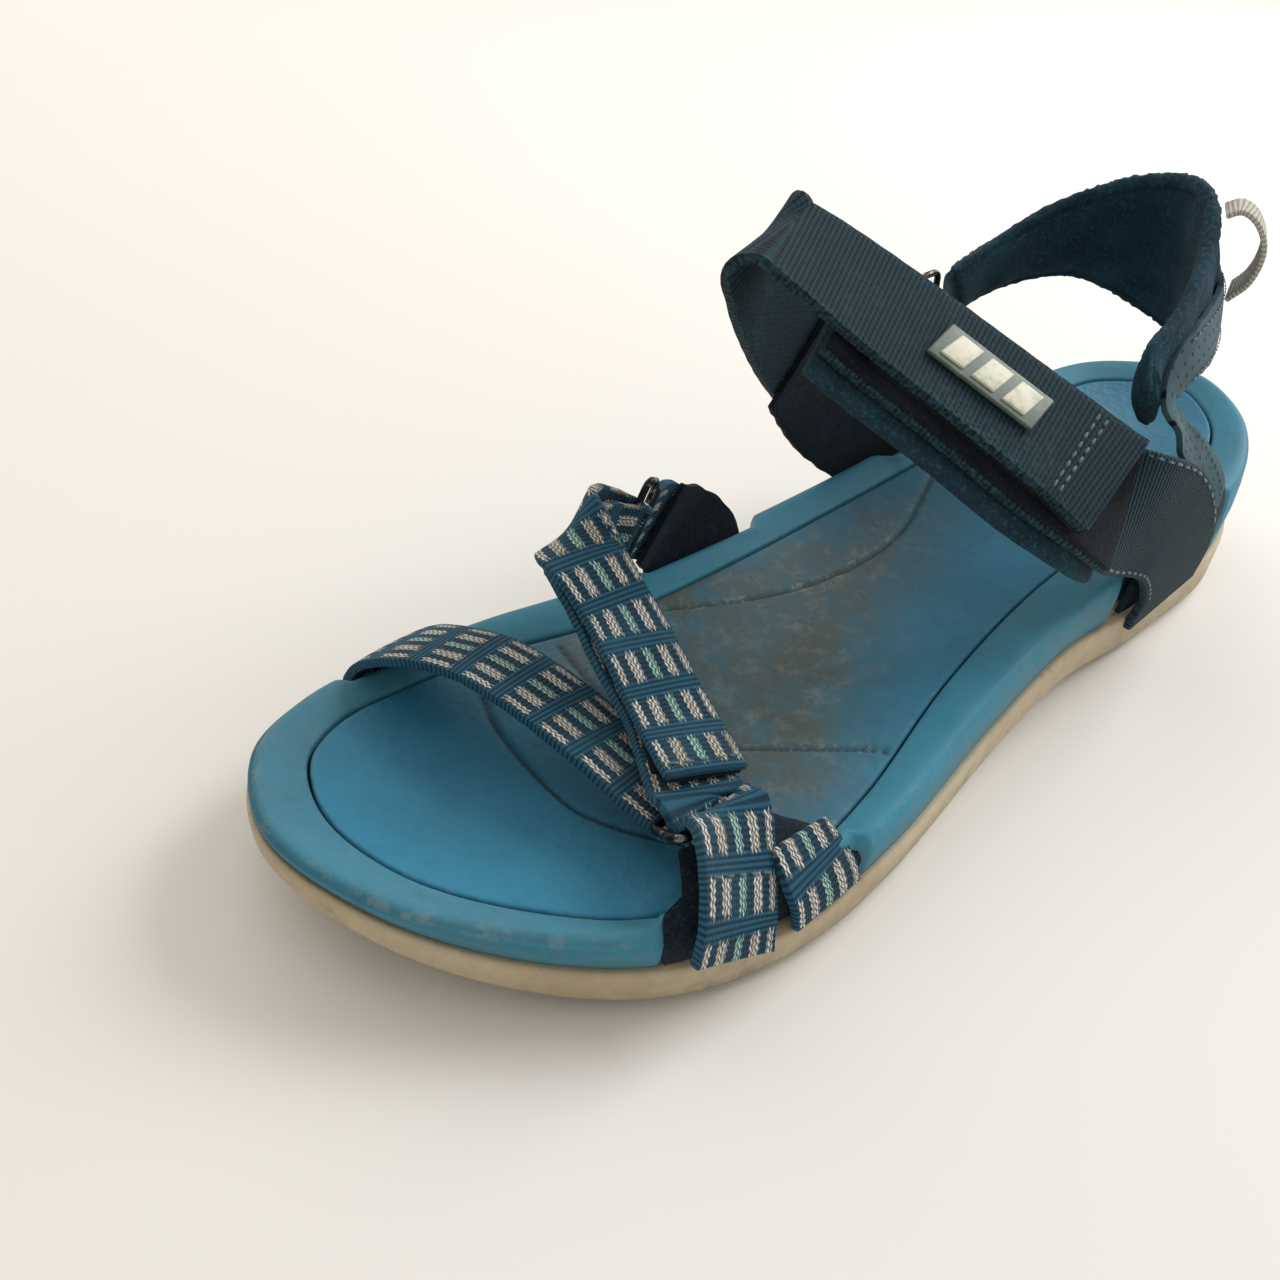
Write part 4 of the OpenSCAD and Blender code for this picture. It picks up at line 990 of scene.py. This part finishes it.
# %% Overlays
GUSSET = [row((36.2, 67, 29), (0, 0.95, -0.3), 17), row((36, 63.6, 38), (0, 0.95, -0.3), 18),
          row((33.6, 58.4, 47), (0, 0.9, -0.42), 15), row((31, 53, 54), (0, 0.85, -0.52), 11)]
OVERLAY_OUTER = [row((28.8, 47.6, 61.4), (0.1, 0.6, -0.8), 8.5),
                 row((27.4, 50.6, 66), (0.2, 0.3, -0.93), 9.5),
                 row((26.4, 58, 68.4), (0.2, 0.25, -0.95), 11),
                 row((24, 69, 69.4), (0.2, 0.15, -0.95), 13),
                 row((19.6, 80.6, 69.6), (0.15, 0.2, -0.95), 13),
                 row((13.4, 92.2, 69), (0.1, 0.3, -0.93), 13)]
OVERLAY_INNER = [row((-33.6, 60, 61.8), (-0.05, 0.3, -0.95), 11),
                 row((-31.6, 70, 66), (-0.1, 0.15, -0.97), 12),
                 row((-28, 82, 69.6), (-0.15, 0.2, -0.95), 14),
                 row((-21.6, 94.8, 70.6), (-0.15, 0.3, -0.93), 15)]
leg = web("lateral_leg_nubuck", GUSSET + OVERLAY_OUTER, 1.2, side=-1, waver=0.3, curl=0.4)
use(leg, nubuck, None, "nubuck", "lateral_gusset", "lateral_overlay")
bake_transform(leg)
overlay_inner = web("medial_overlay_nubuck", OVERLAY_INNER, 1.2, side=1)
use(overlay_inner, nubuck, "collar", "nubuck", "medial_overlay")

# %% Pull loop
ACROSS_LOOP = (-0.43, 0.9, 0)
PULL_LOOP = [row((10.9, 87.2, 87.6), ACROSS_LOOP, 10), row((13.6, 88.6, 89), ACROSS_LOOP, 10),
             row((17, 89.6, 87.4), ACROSS_LOOP, 10), row((19.6, 90.4, 83.5), ACROSS_LOOP, 10),
             row((20, 90.8, 79), ACROSS_LOOP, 10), row((18.8, 91, 74.6), ACROSS_LOOP, 10),
             row((16.3, 90.6, 71), ACROSS_LOOP, 10)]
pull_loop = web("heel_pull_loop", PULL_LOOP, 1.2)
use(pull_loop, loop_finish, "loop", "loop_webbing", "pull_loop")

# %% [markdown]
# ## Stitches
# Each seam is a row of small thread beads that stand a little proud. A bead is made once from a low
# sphere, drawn out along the seam, and copied with its own place.

# %% Stitch maker
def stitches(name, body, slot_name, rows, side, height, spans, pitch=2.6, thick=0.32, material=None,
             mother=None):
    """Beads along a route. Each span is (from share, to share, across from, across to) of the strap."""
    mid, across, up, wide, length = route(rows)
    up = up * side
    bpy.ops.object.select_all(action="DESELECT")
    bpy.ops.mesh.primitive_uv_sphere_add(segments=8, ring_count=5, radius=1)
    seed = bpy.context.object
    base = np.array([v.co[:] for v in seed.data.vertices])
    polys = [list(p.vertices) for p in seed.data.polygons]
    bpy.data.objects.remove(seed)
    points, faces = [], []

    def spot(s, v):
        at = s * length[-1]
        pick_row = [np.interp(at, length, a) for a in (*mid.T, *across.T, *up.T)]
        p, w, n = np.array(pick_row[:3]), unit(np.array(pick_row[3:6])), unit(np.array(pick_row[6:]))
        return p + w * v + n * height, n

    for s0, s1, v0, v1 in spans:
        a, _ = spot(s0, v0)
        b, _ = spot(s1, v1)
        reach = abs(s1 - s0) * length[-1] + abs(v1 - v0)
        count = max(2, int(reach / pitch))
        for k in range(count):
            t0, t1 = (k + 0.14) / count, (k + 0.86) / count
            p0, n = spot(s0 + (s1 - s0) * t0, v0 + (v1 - v0) * t0)
            p1, _ = spot(s0 + (s1 - s0) * t1, v0 + (v1 - v0) * t1)
            d = unit(p1 - p0)
            w = unit(np.cross(n, d))
            m = (p0 + p1) / 2 + w * rng.uniform(-0.06, 0.06)
            reach_half = np.linalg.norm(p1 - p0) / 2
            ring_of = m + np.outer(base[:, 0] * reach_half, d) + np.outer(base[:, 1] * thick, w)
            ring_of = ring_of + np.outer(base[:, 2] * thick * 0.7, n)
            start = len(points) * len(base)
            points.append(ring_of)
            faces += [[start + q for q in poly] for poly in polys]
    piece = mesh_object(name, np.vstack(points), faces)
    outwards(piece)
    use(piece, material or thread_dark, body, slot_name)
    return piece


stitches("ankle_tab_end_stitches", "ankle_tab", "ankle_webbing", ANKLE_TAB, -1, 1.02,
         [(0.13, 0.13, -11, 11), (0.155, 0.155, -11, 11)])
stitches("ankle_fold_stitches", "sole", "ankle_webbing", ANKLE_RUN, -1, 1.02,
         [(0.93, 0.93, -11, 11), (0.96, 0.96, -11, 11)])
stitches("instep_band_stitches", "sole", "ankle_webbing", BAND, -1, 1.02,
         [(0.12, 0.45, -11.4, -11.4), (0.12, 0.45, 11.4, 11.4)], 3.0)
stitches("toe_tab_end_stitches", "toe_tab", "patterned_webbing", TOE_TAB, 1, 0.92,
         [(0.955, 0.955, -7.2, 7.2)])
stitches("front_anchor_stitches", "sole", "patterned_webbing", FRONT_ANCHOR, -1, 0.92,
         [(0.42, 0.42, -7, 7)])
stitches("outer_overlay_stitches", "collar", "nubuck", OVERLAY_OUTER, -1, 0.7,
         [(0.2, 0.97, -4.4, -5.2), (0.2, 0.97, 4.4, 5.2)], 2.0, 0.22)
stitches("inner_overlay_stitches", "collar", "nubuck", OVERLAY_INNER, 1, 0.65,
         [(0.03, 0.97, -5.2, -6.6)], 2.2, 0.26)
stitches("gusset_stitches", "sole", "nubuck", GUSSET, -1, 0.7, [(0.05, 0.9, 7.4, 5.2)], 2.0, 0.22)
stitches("pull_loop_stitches", "loop", "loop_webbing", PULL_LOOP, 1, 0.65,
         [(0.02, 0.1, -3.8, -3.8), (0.02, 0.1, 3.8, 3.8)], 1.8, 0.24, loop_finish)

# %% [markdown]
# ## Floor and light
# The sandal stands on a plain pale sheet under large soft lights, as on a bright table by a window.

# %% Floor and lights
bpy.ops.object.select_all(action="DESELECT")
bpy.ops.mesh.primitive_plane_add(size=6, location=(0, 0, -0.0003))
floor = bpy.context.object
floor.name = "pale_floor"
f = Finish("pale_floor_finish", roughness=0.75)
floor.data.materials.append(f.done(f.mix(f.noise(3, 2, 0.5), (0.86, 0.83, 0.785), (0.88, 0.855, 0.815))))


def soft_light(name, place, target, size, power, tint):
    bpy.ops.object.light_add(type="AREA", location=place)
    light = bpy.context.object
    light.name = name
    light.data.size = size
    light.data.energy = power
    light.data.color = tint
    light.rotation_euler = (Vector(target) - Vector(place)).to_track_quat("-Z", "Y").to_euler()


soft_light("window_light", (0.2, 0.95, 0.75), (0, 0, 0), 0.75, 11.5, (0.97, 0.99, 1.0))
soft_light("side_light", (-0.9, 0.1, 0.7), (0, 0, 0), 1.2, 4, (1.0, 0.95, 0.88))
world = bpy.data.worlds.new("studio")
bpy.context.scene.world = world
world.use_nodes = True
world.node_tree.nodes["Background"].inputs[0].default_value = (1.0, 0.96, 0.9, 1)
world.node_tree.nodes["Background"].inputs[1].default_value = 0.55
bpy.context.scene.view_settings.view_transform = "Standard"
